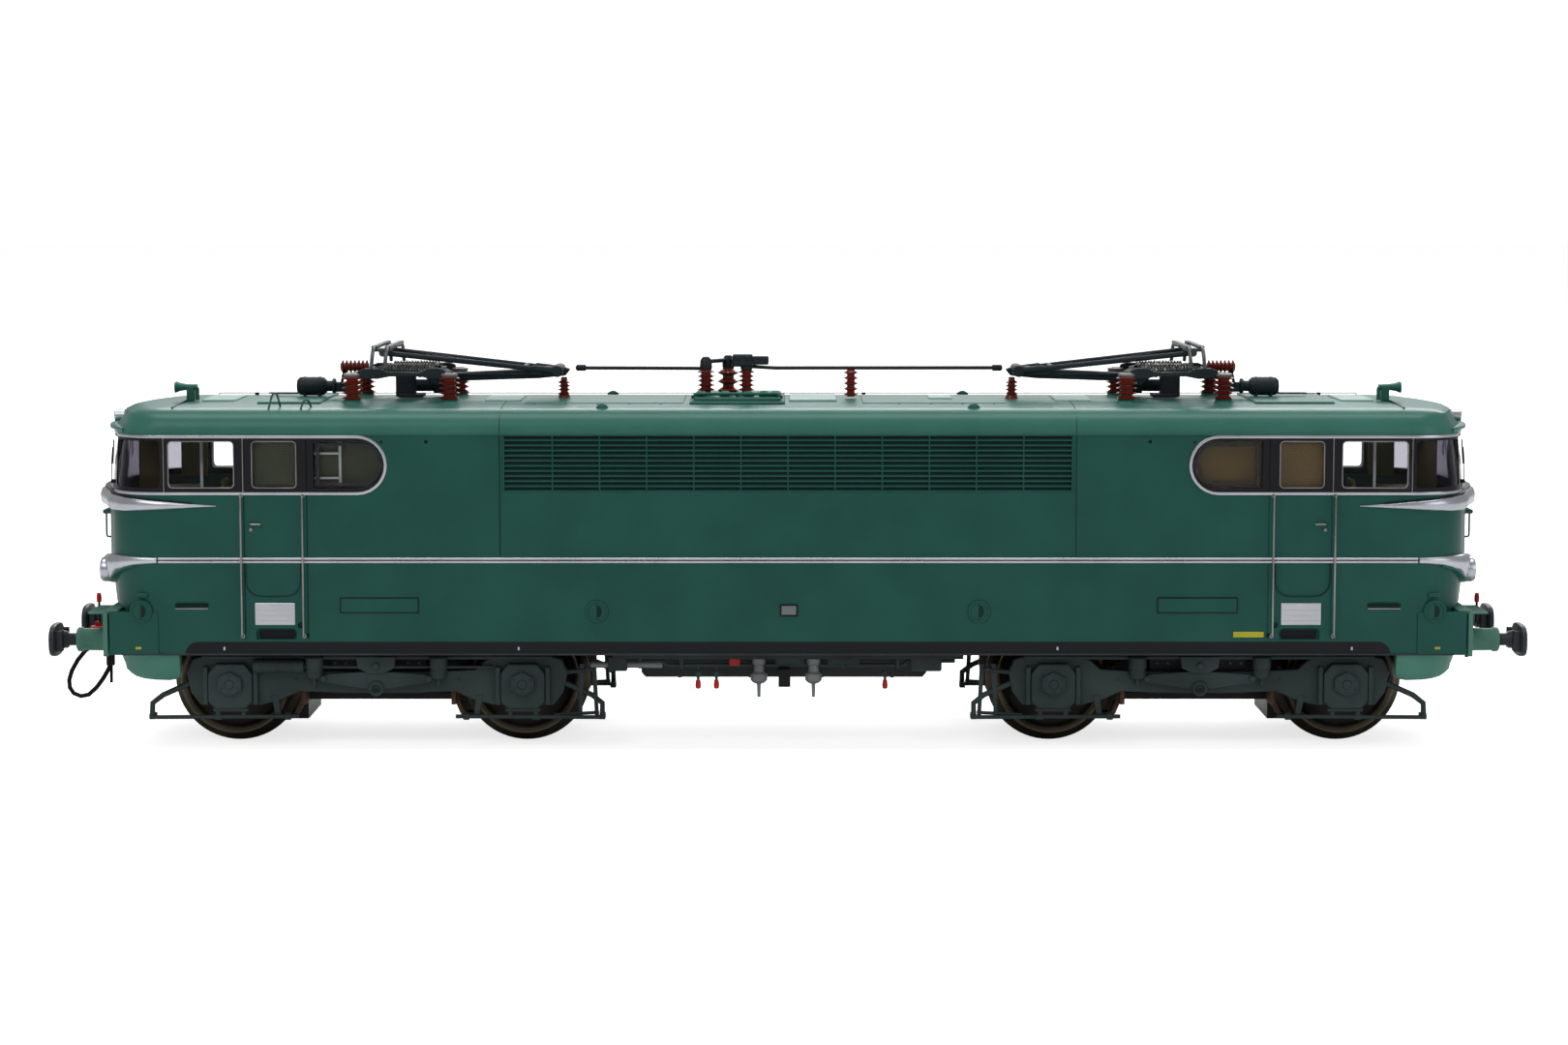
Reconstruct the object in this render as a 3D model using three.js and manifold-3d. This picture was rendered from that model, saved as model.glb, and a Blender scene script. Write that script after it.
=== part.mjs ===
// Electric locomotive in H0 scale: a four-axle machine with two bogies, two cabs and two pantographs.
// Units are millimetres. X runs along the locomotive, Y across it, Z up from the lowest point of the
// wheel flanges. End "a" is at -X and end "b" at +X; the "near" side is at -Y and the "far" side at +Y.

import * as THREE from 'three';
import { mergeVertices } from 'three/addons/utils/BufferGeometryUtils.js';
import Module from 'manifold-3d';

const wasm = await Module();
wasm.setup();

// ---------------------------------------------------------------- driving dimensions

const GAP = 0.3;
const OVER_BUFFERS = 186.2;
const BUFFER_SPACING = 10.06;
const BUFFER_HEIGHT = 13.2;
const BUFFER_TRAVEL = 1.0;
const BEAM_FACE = 85.5;
const BORE_FLOOR = 0.4;

const BODY = { halfWidth: 17, noseX: 87, noseBow: 2, corner: 6.5, wall: 1, bottom: 12.1, top: 39.45 };
const ROOF = { edgeRadius: 2.9, shoulder: 42.6, crown: 43.3, crownHalfWidth: 14 };
const WINDOW = { bottom: 33, top: 38.9 };
const BELT = { bottom: 23.65, top: 24.35 };
const LOUVRE = { halfLength: 35.5, bottom: 32.5, top: 39.1, depth: 0.45, slats: 11 };

const WHEEL = { tread: 7.1, flange: 8.1, back: 7.2, face: 10, axle: 1 };
const AXLE_Z = WHEEL.flange;
const BOGIE_X = 51.65;
const HALF_WHEELBASE = 18.35;
const ARCH = 10.6;
const ARCH_Z = 4.9;

const SHAFT_Z = 21;
const SHAFT_RADIUS = 0.75;
const GEAR = { worm: 2.2, wormWheel: 4.9, axleWheel: 4.45, halfWidth: 1.4, tooth: 0.55 };

const FLOOR_Z = 12.4;
const DECK_Z = 17;

const PANTO = { pivotX: 44.3, pivotZ: 45.9, knuckleX: 29.5, knuckleZ: 46.8, headX: 51.4, headZ: 49.2 };

const ENDS = [{ tag: 'a', side: -1 }, { tag: 'b', side: 1 }];
const FLANKS = [{ tag: 'near', side: -1 }, { tag: 'far', side: 1 }];

// ---------------------------------------------------------------- solids from three.js geometry

const model = new THREE.Group();

function signedVolume(position, index) {
  const a = new THREE.Vector3();
  const b = new THREE.Vector3();
  const c = new THREE.Vector3();
  let volume = 0;
  for (let i = 0; i < index.length; i += 3) {
    a.fromBufferAttribute(position, index[i]);
    b.fromBufferAttribute(position, index[i + 1]);
    c.fromBufferAttribute(position, index[i + 2]);
    volume += a.dot(b.cross(c)) / 6;
  }
  return volume;
}

// A closed three.js geometry as a manifold solid with its faces pointing out.
function solid(source) {
  source.deleteAttribute('normal');
  source.deleteAttribute('uv');
  const geometry = mergeVertices(source, 1e-4);
  const kept = [];
  const index = geometry.index.array;
  for (let i = 0; i < index.length; i += 3) {
    const [a, b, c] = [index[i], index[i + 1], index[i + 2]];
    if (a !== b && b !== c && c !== a) kept.push(a, b, c);
  }
  if (signedVolume(geometry.attributes.position, kept) < 0) kept.reverse();
  const vertProperties = new Float32Array(geometry.attributes.position.array);
  return new wasm.Manifold(new wasm.Mesh({ numProp: 3, vertProperties, triVerts: new Uint32Array(kept) }));
}

function union(...pieces) {
  return pieces.flat().reduce((whole, piece) => whole.add(piece));
}

function box(x0, x1, y0, y1, z0, z1) {
  const geometry = new THREE.BoxGeometry(x1 - x0, y1 - y0, z1 - z0);
  return solid(geometry.translate((x0 + x1) / 2, (y0 + y1) / 2, (z0 + z1) / 2));
}

// A box that spans the same distance either side of the centre line.
function slab(x0, x1, halfWidth, z0, z1) {
  return box(x0, x1, -halfWidth, halfWidth, z0, z1);
}

function outline(points) {
  return new THREE.Shape(points.map(([x, y]) => new THREE.Vector2(x, y)));
}

// A plan shape raised from z0 to z1.
function raised(shape, z0, z1, curveSegments = 4) {
  const geometry = new THREE.ExtrudeGeometry(shape, { depth: z1 - z0, bevelEnabled: false, curveSegments });
  return solid(geometry.translate(0, 0, z0));
}

// A side-view shape, drawn in X and Z, run across from y0 to y1.
function crosswise(shape, y0, y1, curveSegments = 6) {
  const geometry = new THREE.ExtrudeGeometry(shape, { depth: y1 - y0, bevelEnabled: false, curveSegments });
  return solid(geometry.rotateX(Math.PI / 2).translate(0, y1, 0));
}

const TURN_TO = {
  x: (geometry) => geometry.rotateZ(-Math.PI / 2),
  y: (geometry) => geometry,
  z: (geometry) => geometry.rotateX(Math.PI / 2),
};

// A turned piece: the profile holds [radius, distance along the axis], and its ends lie on the axis.
function turned(profile, axis, centre, segments = 12) {
  const points = profile.map(([radius, along]) => new THREE.Vector2(radius, along));
  return solid(TURN_TO[axis](new THREE.LatheGeometry(points, segments)).translate(...centre));
}

function disc(radius, axis, from, to, centre, segments = 12) {
  return turned([[0, from], [radius, from], [radius, to], [0, to]], axis, centre, segments);
}

// A round bar between two points.
function bar(from, to, radius, segments = 8) {
  const start = new THREE.Vector3(...from);
  const end = new THREE.Vector3(...to);
  const run = end.clone().sub(start);
  const geometry = new THREE.CylinderGeometry(radius, radius, run.length(), segments);
  const turn = new THREE.Quaternion().setFromUnitVectors(new THREE.Vector3(0, 1, 0), run.clone().normalize());
  const centre = start.add(end).multiplyScalar(0.5);
  return solid(geometry.applyQuaternion(turn).translate(centre.x, centre.y, centre.z));
}

function mirroredX(piece) {
  return piece.mirror([1, 0, 0]);
}

function bothFlanks(piece) {
  return piece.add(piece.mirror([0, 1, 0]));
}

function bothEnds(piece) {
  return piece.add(mirroredX(piece));
}

// ---------------------------------------------------------------- finishes

const FINISH = {
  green: [0x21574a, 0.5, 0],
  lightGreen: [0x3b7f6c, 0.5, 0],
  silver: [0xc9ccd0, 0.3, 0.8],
  glass: [0xbfc8c8, 0.08, 0],
  olive: [0x55543a, 0.7, 0],
  slate: [0x39464a, 0.6, 0.1],
  black: [0x17171c, 0.5, 0],
  diecast: [0x6d6f72, 0.55, 0.7],
  wheel: [0x4a443c, 0.35, 0.9],
  brass: [0xb08d4a, 0.35, 0.9],
  steel: [0xa8abb0, 0.3, 0.9],
  insulator: [0x6e2a1e, 0.35, 0],
  board: [0x1f4d2e, 0.5, 0],
};

function put(name, piece, finish) {
  const { vertProperties, triVerts } = piece.getMesh();
  const geometry = new THREE.BufferGeometry();
  geometry.setAttribute('position', new THREE.BufferAttribute(vertProperties, 3));
  geometry.setIndex(new THREE.BufferAttribute(triVerts, 1));
  geometry.computeVertexNormals();
  const [color, roughness, metalness] = FINISH[finish];
  const mesh = new THREE.Mesh(geometry, new THREE.MeshStandardMaterial({ color, roughness, metalness }));
  mesh.name = name;
  model.add(mesh);
}

// Places a piece modelled at the +X end at either end.
function atEnd(piece, end) {
  return end.side > 0 ? piece : mirroredX(piece);
}

// ---------------------------------------------------------------- body shell, roof and cab fittings

// Plan outline of the body grown outwards: straight sides, round corners and a slightly bowed nose.
function plan(grow) {
  const side = BODY.halfWidth + grow;
  const corner = BODY.corner + grow;
  const nose = BODY.noseX + grow;
  const shoulder = nose - BODY.noseBow;
  const bow = nose + BODY.noseBow;
  const quarter = Math.PI / 2;
  const shape = new THREE.Shape();
  shape.moveTo(corner - shoulder, -side);
  shape.lineTo(shoulder - corner, -side);
  shape.absarc(shoulder - corner, corner - side, corner, -quarter, 0);
  shape.quadraticCurveTo(bow, 0, shoulder, side - corner);
  shape.absarc(shoulder - corner, side - corner, corner, 0, quarter);
  shape.lineTo(corner - shoulder, side);
  shape.absarc(corner - shoulder, side - corner, corner, quarter, 2 * quarter);
  shape.quadraticCurveTo(-bow, 0, -shoulder, corner - side);
  shape.absarc(corner - shoulder, corner - side, corner, 2 * quarter, 3 * quarter);
  return shape;
}

// A band that follows the body outline between two distances from its surface.
function band(inside, outside, z0, z1) {
  return raised(plan(outside), z0, z1).subtract(raised(plan(inside), z0 - 1, z1 + 1));
}

// Side-view shape of the rear quarter window: square towards the cab, half round towards the middle.
function rearWindow() {
  const radius = (WINDOW.top - WINDOW.bottom) / 2;
  const centre = 50.15 + radius;
  const shape = new THREE.Shape();
  shape.moveTo(58.95, WINDOW.bottom);
  shape.lineTo(58.95, WINDOW.top);
  shape.lineTo(centre, WINDOW.top);
  shape.absarc(centre, WINDOW.bottom + radius, radius, Math.PI / 2, 1.5 * Math.PI);
  return shape;
}

// Side-view shape of the upper nose trim, a streak that tapers to a point along the side.
function upperTrim() {
  return outline([
    [71.05, 30.75], [82, 30.05], [90, 29.95], [90, 32.2], [84.5, 32.2], [80, 31.25], [71.05, 30.95],
  ]);
}

function louvres() {
  const back = BODY.halfWidth - LOUVRE.depth;
  const pitch = (LOUVRE.top - LOUVRE.bottom) / (LOUVRE.slats - 0.5);
  const pieces = [];
  for (let i = 0; i < LOUVRE.slats; i += 1) {
    const z = LOUVRE.bottom + i * pitch;
    pieces.push(box(
      -LOUVRE.halfLength - 0.1, LOUVRE.halfLength + 0.1, -BODY.halfWidth + 0.02, -back + 0.1, z, z + 0.36,
    ));
  }
  return bothFlanks(union(pieces));
}

function bodyShell() {
  const across = BODY.halfWidth + 3;
  const wall = band(-BODY.wall, 0, BODY.bottom, BODY.top);
  const cuts = [
    bothEnds(box(61, 66.6, -across, across, WINDOW.bottom, WINDOW.top)),
    bothEnds(box(68.75, 77, -across, across, WINDOW.bottom, WINDOW.top)),
    bothEnds(crosswise(rearWindow(), -across, across)),
    bothEnds(bothFlanks(box(78, 95, 12, across, WINDOW.bottom, WINDOW.top))),
    bothEnds(bothFlanks(box(80, 95, 0.6, 11.2, WINDOW.bottom, WINDOW.top))),
    bothEnds(box(83.2, 95, -across, across, BODY.bottom - 1, 17.9)),
  ];
  const recess = box(
    -LOUVRE.halfLength, LOUVRE.halfLength,
    -across, LOUVRE.depth - BODY.halfWidth,
    LOUVRE.bottom, LOUVRE.top,
  );
  const trim = union(
    band(-0.5, 0.35, 29.9, 32.2).intersect(bothEnds(crosswise(upperTrim(), -across, across))),
    band(-0.5, 0.15, BELT.bottom, BELT.top).intersect(slab(-78.2, 78.2, across, 20, 30)),
  );
  return union(wall.subtract(union(cuts)).subtract(bothFlanks(recess)), louvres(), trim);
}

// A rounded-edge cap of the body outline, its edge radius springing from z0.
function cap(grow, z0, z1) {
  const radius = Math.min(ROOF.edgeRadius, z1 - z0);
  const geometry = new THREE.ExtrudeGeometry(plan(grow - radius), {
    depth: z1 - z0 - radius,
    bevelThickness: radius,
    bevelSize: radius,
    bevelSegments: 3,
    curveSegments: 4,
  });
  return solid(geometry.translate(0, 0, z0)).subtract(slab(-100, 100, 20, z0 - 5, z0));
}

// The shallow crown of the roof, an arc across the locomotive lengthened between the cab roofs.
function crown(halfLength, lift) {
  const rise = ROOF.crown - ROOF.shoulder;
  const shape = new THREE.Shape();
  shape.moveTo(-ROOF.crownHalfWidth, ROOF.shoulder - 0.5 + lift);
  shape.lineTo(-ROOF.crownHalfWidth, ROOF.shoulder + lift);
  shape.quadraticCurveTo(0, ROOF.shoulder + 2 * rise + lift, ROOF.crownHalfWidth, ROOF.shoulder + lift);
  shape.lineTo(ROOF.crownHalfWidth, ROOF.shoulder - 0.5 + lift);
  const geometry = new THREE.ExtrudeGeometry(
    shape, { depth: 2 * halfLength, bevelEnabled: false, curveSegments: 6 },
  );
  return solid(geometry.rotateX(Math.PI / 2).rotateZ(Math.PI / 2).translate(-halfLength, 0, 0));
}

// Height of the roof surface at a distance from the centre line.
function roofZ(y) {
  const t = y / ROOF.crownHalfWidth;
  return ROOF.shoulder + (ROOF.crown - ROOF.shoulder) * (1 - t * t);
}

function roofCover() {
  const springing = BODY.top + GAP;
  const shell = union(cap(0, springing, ROOF.shoulder), crown(78, 0));
  const hollow = union(cap(-1.2, springing - 0.01, ROOF.shoulder - 1.2));
  const brow = band(-1, 0.5, springing, springing + 0.9).intersect(bothEnds(box(80.5, 95, -14, 14, 30, 50)));
  const hatch = bothEnds(slab(59, 69, 9, ROOF.shoulder, 43.9));
  const lug = bothEnds(bothFlanks(disc(0.85, 'y', -0.25, 0.25, [23.2, -13.6, ROOF.shoulder - 0.1])));
  return union(shell, brow, hatch, lug).subtract(hollow);
}

// Window strip of one cab, a thin clear band just inside the body.
function glazing() {
  const inside = -BODY.wall - GAP;
  const strip = band(inside - 0.6, inside, WINDOW.bottom - 0.7, BODY.top - 0.1);
  return strip.intersect(slab(49.4, 95, 20, 30, 45));
}

function seat(x, y) {
  return union(
    box(x - 1.5, x + 1.5, y - 2.2, y + 2.2, DECK_Z + 2.4, 24.5),
    box(x - 2.1, x - 1.3, y - 2.2, y + 2.2, 23, 30),
  );
}

// Cab moulding: floor, rear partition, blinds behind the door windows, driver's desk and two seats.
function cabInterior() {
  const floor = slab(66.9, 82.6, 14, DECK_Z + 1.5, DECK_Z + 2.7);
  const partition = slab(66.9, 68, 14, DECK_Z + 2, 38);
  const blinds = bothFlanks(box(50, 67.2, 13.2, 14, 27, 38));
  const desk = slab(79.2, 82.6, 11, DECK_Z + 2, 30);
  return union(floor, partition, blinds, desk, seat(74, -6), seat(74, 6));
}

// Lower nose trim: a band round the nose that swells at the front and carries the lamp housings.
function noseTrim() {
  const shape = new THREE.Shape();
  shape.moveTo(78.5, 23.65);
  shape.lineTo(78.5, 24.35);
  shape.bezierCurveTo(81, 24.5, 83, 25.1, 85, 25);
  shape.lineTo(95, 25);
  shape.lineTo(95, 20.9);
  shape.bezierCurveTo(84, 20.9, 84, 23.4, 80, 23.65);
  const streak = band(GAP, 0.85, 20.5, 25.5).intersect(crosswise(shape, -20, 20));
  const lamps = bothFlanks(disc(1.7, 'x', 85.9, 88.2, [0, 10, 22.4]));
  return union(streak, lamps.subtract(raised(plan(GAP), 15, 30)));
}

put('body_shell', bodyShell(), 'green');
put('roof_cover', roofCover(), 'lightGreen');
for (const end of ENDS) {
  put(`cab_glazing_${end.tag}`, atEnd(glazing(), end), 'glass');
  put(`cab_interior_${end.tag}`, atEnd(cabInterior(), end), 'olive');
  put(`nose_trim_${end.tag}`, atEnd(noseTrim(), end), 'silver');
}

// ---------------------------------------------------------------- buffer beams and buffers

// Beam across the end, with buffer housings, step plates, draw hook and the valance below.
function endBeam() {
  const face = BEAM_FACE;
  const beam = slab(83.5, face, 16.4, BODY.bottom, 17.6);
  const housing = disc(1.4, 'x', face - 0.5, 89.9, [0, BUFFER_SPACING, BUFFER_HEIGHT], 10);
  const bore = disc(1.15, 'x', face + BORE_FLOOR, 92, [0, BUFFER_SPACING, BUFFER_HEIGHT], 10);
  const flange = box(face - 0.5, face + 0.35, BUFFER_SPACING - 1.9, BUFFER_SPACING + 1.9, 11.9, 15.2);
  const step = box(face - 0.5, 88.4, 7.2, 12.6, 16.75, 17.1);
  const bracket = box(face - 0.5, 87.6, 7.4, 7.7, 15.2, 17);
  const cock = disc(0.3, 'z', 17, 19.8, [87.3, 7.9, 0], 6);
  const hook = box(face - 0.5, 87.9, -0.4, 0.4, 12.3, 13.6);
  const valance = raised(plan(-1.4), 8.2, 12.3).subtract(raised(plan(-2.4), 7, 13));
  const skirt = valance.intersect(slab(
    77.1, 95, 20, 8.2, 12.3,
  )).subtract(slab(50, 83.4, 20, BODY.bottom - GAP, 13));
  return union(beam, bothFlanks(union(housing, flange, step, bracket, cock)), hook, skirt)
    .subtract(bothFlanks(bore));
}

// Sprung plunger with its oblong head, running in a housing.
function buffer(side) {
  const half = OVER_BUFFERS / 2;
  const tail = BEAM_FACE + BORE_FLOOR + GAP + BUFFER_TRAVEL;
  const head = new THREE.Shape();
  head.absellipse(BUFFER_SPACING, BUFFER_HEIGHT, 3.45, 2, 0, 2 * Math.PI);
  const plate = new THREE.ExtrudeGeometry(head, { depth: 0.7, bevelEnabled: false, curveSegments: 10 });
  const face = plate.rotateX(Math.PI / 2).rotateZ(Math.PI / 2).translate(half - 0.7, 0, 0);
  const shank = [[0, tail], [0.8, tail], [0.8, 91.2], [1.5, 92], [1.5, half - 0.5], [0, half - 0.5]];
  const whole = union(turned(shank, 'x', [0, BUFFER_SPACING, BUFFER_HEIGHT]), solid(face));
  return side > 0 ? whole : whole.mirror([0, 1, 0]);
}

// Moulded brake hose with its shut-off cock, held at both ends under the beam of end a.
function brakeHose() {
  const y = -6;
  const route = [
    [-88.9, 11.9], [-90.6, 10.2], [-92, 7.2], [-91.5, 5.6], [-90, 5.3], [-88.3, 6.7], [-87.2, 8.6],
    [-86.7, 9.5],
  ];
  const curve = new THREE.CatmullRomCurve3(route.map(([x, z]) => new THREE.Vector3(x, y, z)));
  const section = new THREE.Shape();
  section.absarc(0, 0, 0.22, 0, 2 * Math.PI);
  const geometry = new THREE.ExtrudeGeometry(section, { steps: 18, extrudePath: curve, curveSegments: 3 });
  const valve = union(
    box(-89.2, -85.9, y - 0.7, y + 0.7, 12.6, 14.4), disc(0.45, 'z', 11.7, 12.8, [-88.9, y, 0]),
  );
  const lower = box(-87.1, -86.2, y - 0.4, y + 0.4, 9.2, 12.9);
  return union(solid(geometry), valve, lower);
}

for (const end of ENDS) {
  put(`end_beam_${end.tag}`, atEnd(endBeam(), end), 'lightGreen');
  for (const flank of FLANKS) {
    put(`buffer_${end.tag}_${flank.tag}`, atEnd(buffer(flank.side), end), 'black');
  }
}
put('brake_hose', brakeHose(), 'black');

// ---------------------------------------------------------------- chassis, motor and underframe

// Cast frame: a low tub for the motor between the bogies and a deck raised over each bogie.
function chassisFrame() {
  const halfWidth = 15.4;
  const tub = slab(-23.5, 23.5, halfWidth, FLOOR_Z, FLOOR_Z + 1.2);
  const cheeks = bothFlanks(box(-23.5, 23.5, 9, halfWidth, FLOOR_Z, 22));
  const cradle = slab(-12, 12, 9.2, FLOOR_Z, 17);
  const end = union(
    slab(22.3, 23.5, halfWidth, FLOOR_Z, DECK_Z + 1.2),
    slab(22.3, 82.8, halfWidth - 0.6, DECK_Z, DECK_Z + 1.2),
    slab(80.6, 82, 13, BODY.bottom + 0.5, DECK_Z + 0.5),
    bothFlanks(box(25, 49.4, 12, halfWidth - 0.6, DECK_Z, 26)),
  );
  const towerway = slab(BOGIE_X - 9, BOGIE_X + 9, 6.6, DECK_Z - 1, DECK_Z + 3);
  const motorway = disc(7.8, 'x', -26, 26, [0, 0, SHAFT_Z], 20);
  return union(tub, cheeks, cradle, bothEnds(end.subtract(towerway)))
    .subtract(motorway)
    .intersect(raised(plan(-1.6), 0, 60));
}

function motorCan() {
  const shape = [
    [1.4, -14], [7.5, -14], [7.5, 14], [1.4, 14], [1.4, 13], [6.3, 13], [6.3, -13], [1.4, -13], [1.4, -14],
  ];
  return turned(shape, 'x', [0, 0, SHAFT_Z], 12);
}

// Armature, shaft and two flywheels, turning as one.
function motorShaft() {
  const half = [[5.6, 10], [1, 10], [1, 16.5], [7, 16.5], [7, 25.4], [1, 25.4], [1, 27], [0, 27]];
  const mirrored = half.map(([radius, x]) => [radius, -x]).reverse();
  return turned([...mirrored, ...half], 'x', [0, 0, SHAFT_Z], 12);
}

// Drive shaft between a flywheel and a bogie, with a ball joint at each end.
function cardan() {
  const ball = 1.5;
  const from = 27.5;
  const to = 43.5;
  const shape = [[0, from], [1, from], [ball, from + 0.8], [1, from + 2], [0.8, from + 2.6]];
  const mirrored = shape.map(([radius, x]) => [radius, from + to - x]).reverse();
  return turned([...shape, ...mirrored], 'x', [0, 0, SHAFT_Z], 10);
}

function circuitBoard() {
  const z = 30.5;
  const board = slab(-44, 44, 11, z, z + 1);
  const chips = [[-30, 5, 3], [-12, 8, 4], [14, 4, 5], [32, 6, 3]];
  return union(board, chips.map(([x, length, width]) => slab(x, x + length, width, z + 0.9, z + 2.4)));
}

// Equipment hung under the middle: air tank, pipe runs, drain cocks and two large valves.
function underframe() {
  const plate = slab(-22, 22, 15, 11.2, BODY.bottom);
  const tank = union(slab(-18, 18, 7, 8.4, 11.5), slab(-18, -4, 10.5, 9.2, 11.5));
  const y = -13.6;
  const pipes = [
    bar([-21, y, 10.5], [21, y, 10.5], 0.3, 4), bar([-21, 13.6, 10.5], [21, 13.6, 10.5], 0.3, 4),
  ];
  const hangers = [-19, 17].map((x) => slab(x - 0.3, x + 0.3, 13.9, 10.1, 11.6));
  const cocks = [-11.3, -9, 12.2].map((x) => disc(0.35, 'z', 7.4, 11.5, [x, y, 0], 4));
  const valves = [-3.66, 3.2].map((x) => turned(
    [[0, 6.3], [0.25, 6.3], [0.25, 8], [1.1, 8.3], [1.1, 9.4], [0.7, 9.6], [0.7, 11.5], [0, 11.5]],
    'z', [x, y, 0], 6,
  ));
  const boxes = [box(-1.2, 0.3, y - 0.8, y + 0.8, 7.7, 11.5), box(15.4, 19.3, y - 1, y + 1, 9.6, 11.5)];
  return union(plate, tank, pipes, hangers, cocks, valves, boxes);
}

put('chassis_frame', chassisFrame(), 'diecast');
put('motor_can', motorCan(), 'steel');
put('motor_shaft', motorShaft(), 'brass');
put('circuit_board', circuitBoard(), 'board');
put('underframe_gear', underframe(), 'slate');
for (const end of ENDS) put(`cardan_shaft_${end.tag}`, atEnd(cardan(), end), 'black');

// ---------------------------------------------------------------- bogies

const WORM_WHEEL_Z = SHAFT_Z - GEAR.worm - GEAR.wormWheel - GAP;
const TRAIN = Math.hypot(HALF_WHEELBASE, WORM_WHEEL_Z - AXLE_Z);
const IDLER_RADIUS = (TRAIN - GEAR.wormWheel - GEAR.axleWheel - 2 * GAP) / 2;
const IDLER_SHARE = (GEAR.wormWheel + GAP + IDLER_RADIUS) / TRAIN;
const IDLER_X = HALF_WHEELBASE * IDLER_SHARE;
const IDLER_Z = WORM_WHEEL_Z - (WORM_WHEEL_Z - AXLE_Z) * IDLER_SHARE;

// Toothed wheel about the Y axis, on a stub axle if one is wanted.
function gear(x, z, tip, teeth, stub) {
  const shape = new THREE.Shape();
  const root = tip - GEAR.tooth;
  for (let i = 0; i < teeth; i += 1) {
    const corners = [[root, 0], [tip, 0.28], [tip, 0.5], [root, 0.78]];
    for (const [radius, share] of corners) {
      const angle = ((i + share) / teeth) * 2 * Math.PI;
      const point = [x + radius * Math.cos(angle), z + radius * Math.sin(angle)];
      if (i === 0 && share === 0) shape.moveTo(...point);
      else shape.lineTo(...point);
    }
  }
  const wheel = crosswise(shape, -GEAR.halfWidth, GEAR.halfWidth);
  return stub ? wheel.add(disc(0.7, 'y', -stub, stub, [x, 0, z], 6)) : wheel;
}

function wheelset(x) {
  const half = [
    [
      1, WHEEL.back,
    ], [WHEEL.flange, WHEEL.back], [WHEEL.flange, WHEEL.back + 0.5], [WHEEL.tread, WHEEL.back + 0.9],
    [WHEEL.tread - 0.1, WHEEL.face], [0.9, WHEEL.face], [0.9, 11.6], [0, 11.6],
  ];
  const mirrored = half.map(([radius, y]) => [radius, -y]).reverse();
  return turned([...mirrored, ...half], 'y', [x, 0, AXLE_Z], 16).add(gear(x, AXLE_Z, GEAR.axleWheel, 10, 0));
}

function worm() {
  const thread = [];
  for (let x = -4.5; x < 4.4; x += 2.25) {
    thread.push(
      [GEAR.worm - 0.5, x + 0.2], [GEAR.worm, x + 0.7], [GEAR.worm, x + 1.5], [GEAR.worm - 0.5, x + 2],
    );
  }
  const shape = [
    [0, -7.6], [SHAFT_RADIUS, -7.6], [SHAFT_RADIUS, -4.5], ...thread, [SHAFT_RADIUS, 4.5],
    [SHAFT_RADIUS, 7.6], [0, 7.6],
  ];
  return turned(shape, 'x', [BOGIE_X, 0, SHAFT_Z], 6);
}

// Cast bogie frame: a gear case between the wheels, a tower for the worm and arms for the side frames.
function bogieFrame() {
  const half = HALF_WHEELBASE + 5.4;
  const x = (distance) => BOGIE_X + distance;
  const gearCase = slab(x(-half), x(half), 5.9, 3.5, 11.9);
  const tower = slab(x(-7), x(7), 4.6, 10, 24);
  const arms = slab(x(-6), x(6), 12.4, 8.8, 11.9);
  const slot = slab(x(-half + 1), x(half - 1), 2, 2, 10.9);
  const gearSlot = slab(x(-5.6), x(5.6), 2, 2, 19);
  const wormSlot = slab(x(-5.4), x(5.4), 2.7, SHAFT_Z - GEAR.worm - 0.4, 30);
  const shaftSlot = slab(x(-9), x(9), SHAFT_RADIUS + GAP, SHAFT_Z - SHAFT_RADIUS - GAP, 30);
  const pins = [[0, WORM_WHEEL_Z], [-IDLER_X, IDLER_Z], [IDLER_X, IDLER_Z]];
  const pinHoles = pins.map(([at, z]) => disc(1, 'y', -8, 8, [x(at), 0, z], 6));
  const wells = [[IDLER_X, IDLER_Z, IDLER_RADIUS], [HALF_WHEELBASE, AXLE_Z, GEAR.axleWheel]];
  const gearWells = wells.flatMap(([at, z, radius]) => [-at, at].map(
    (way) => disc(radius + 0.45, 'y', -2, 2, [x(way), 0, z], 16),
  ));
  const axleSlots = [
    -HALF_WHEELBASE, HALF_WHEELBASE,
  ].map((at) => slab(x(at - 1.4), x(at + 1.4), 8, 2, AXLE_Z + 1.4));
  const arch = slab(x(-ARCH), x(ARCH), 8, 2, ARCH_Z + 1.1);
  return union(gearCase.subtract(arch), tower, arms)
    .subtract(union(slot, gearSlot, wormSlot, shaftSlot, pinHoles, gearWells, axleSlots));
}

// Clip-on plate that closes the gear case from below, stepped up where the case is arched.
function keeperPlate() {
  const half = HALF_WHEELBASE + 5.4;
  const thickness = 0.8;
  const middle = slab(BOGIE_X - ARCH, BOGIE_X + ARCH, 5.9, ARCH_Z, ARCH_Z + thickness);
  const feet = [[-half, -ARCH], [ARCH - thickness, half]].map(
    ([
      from, to,
    ]) => slab(BOGIE_X + from, BOGIE_X + to + (from < 0 ? thickness : 0), 5.9, 2.4, 2.4 + thickness),
  );
  const risers = [-ARCH, ARCH - thickness].map(
    (at) => slab(BOGIE_X + at, BOGIE_X + at + thickness, 5.9, 2.4, ARCH_Z + thickness),
  );
  return union(middle, feet, risers);
}

// Side-view outline of a bogie side frame: deep at the axle boxes, slim between them.
function frameOutline() {
  const half = [
    [5, 6.7], [10.5, 6.9], [13.2, 5.6], [15.2, 5.1], [21.6, 5.1], [22.9, 7], [23.6, 10.2], [22.2, 11.7],
    [14.5, 11.7], [12.8, 9.9], [6, 9.6],
  ];
  const mirrored = half.map(([x, z]) => [-x, z]).reverse();
  const points = [...half, ...mirrored].map(([x, z]) => [BOGIE_X + x, z]);
  return outline(points);
}

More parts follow.
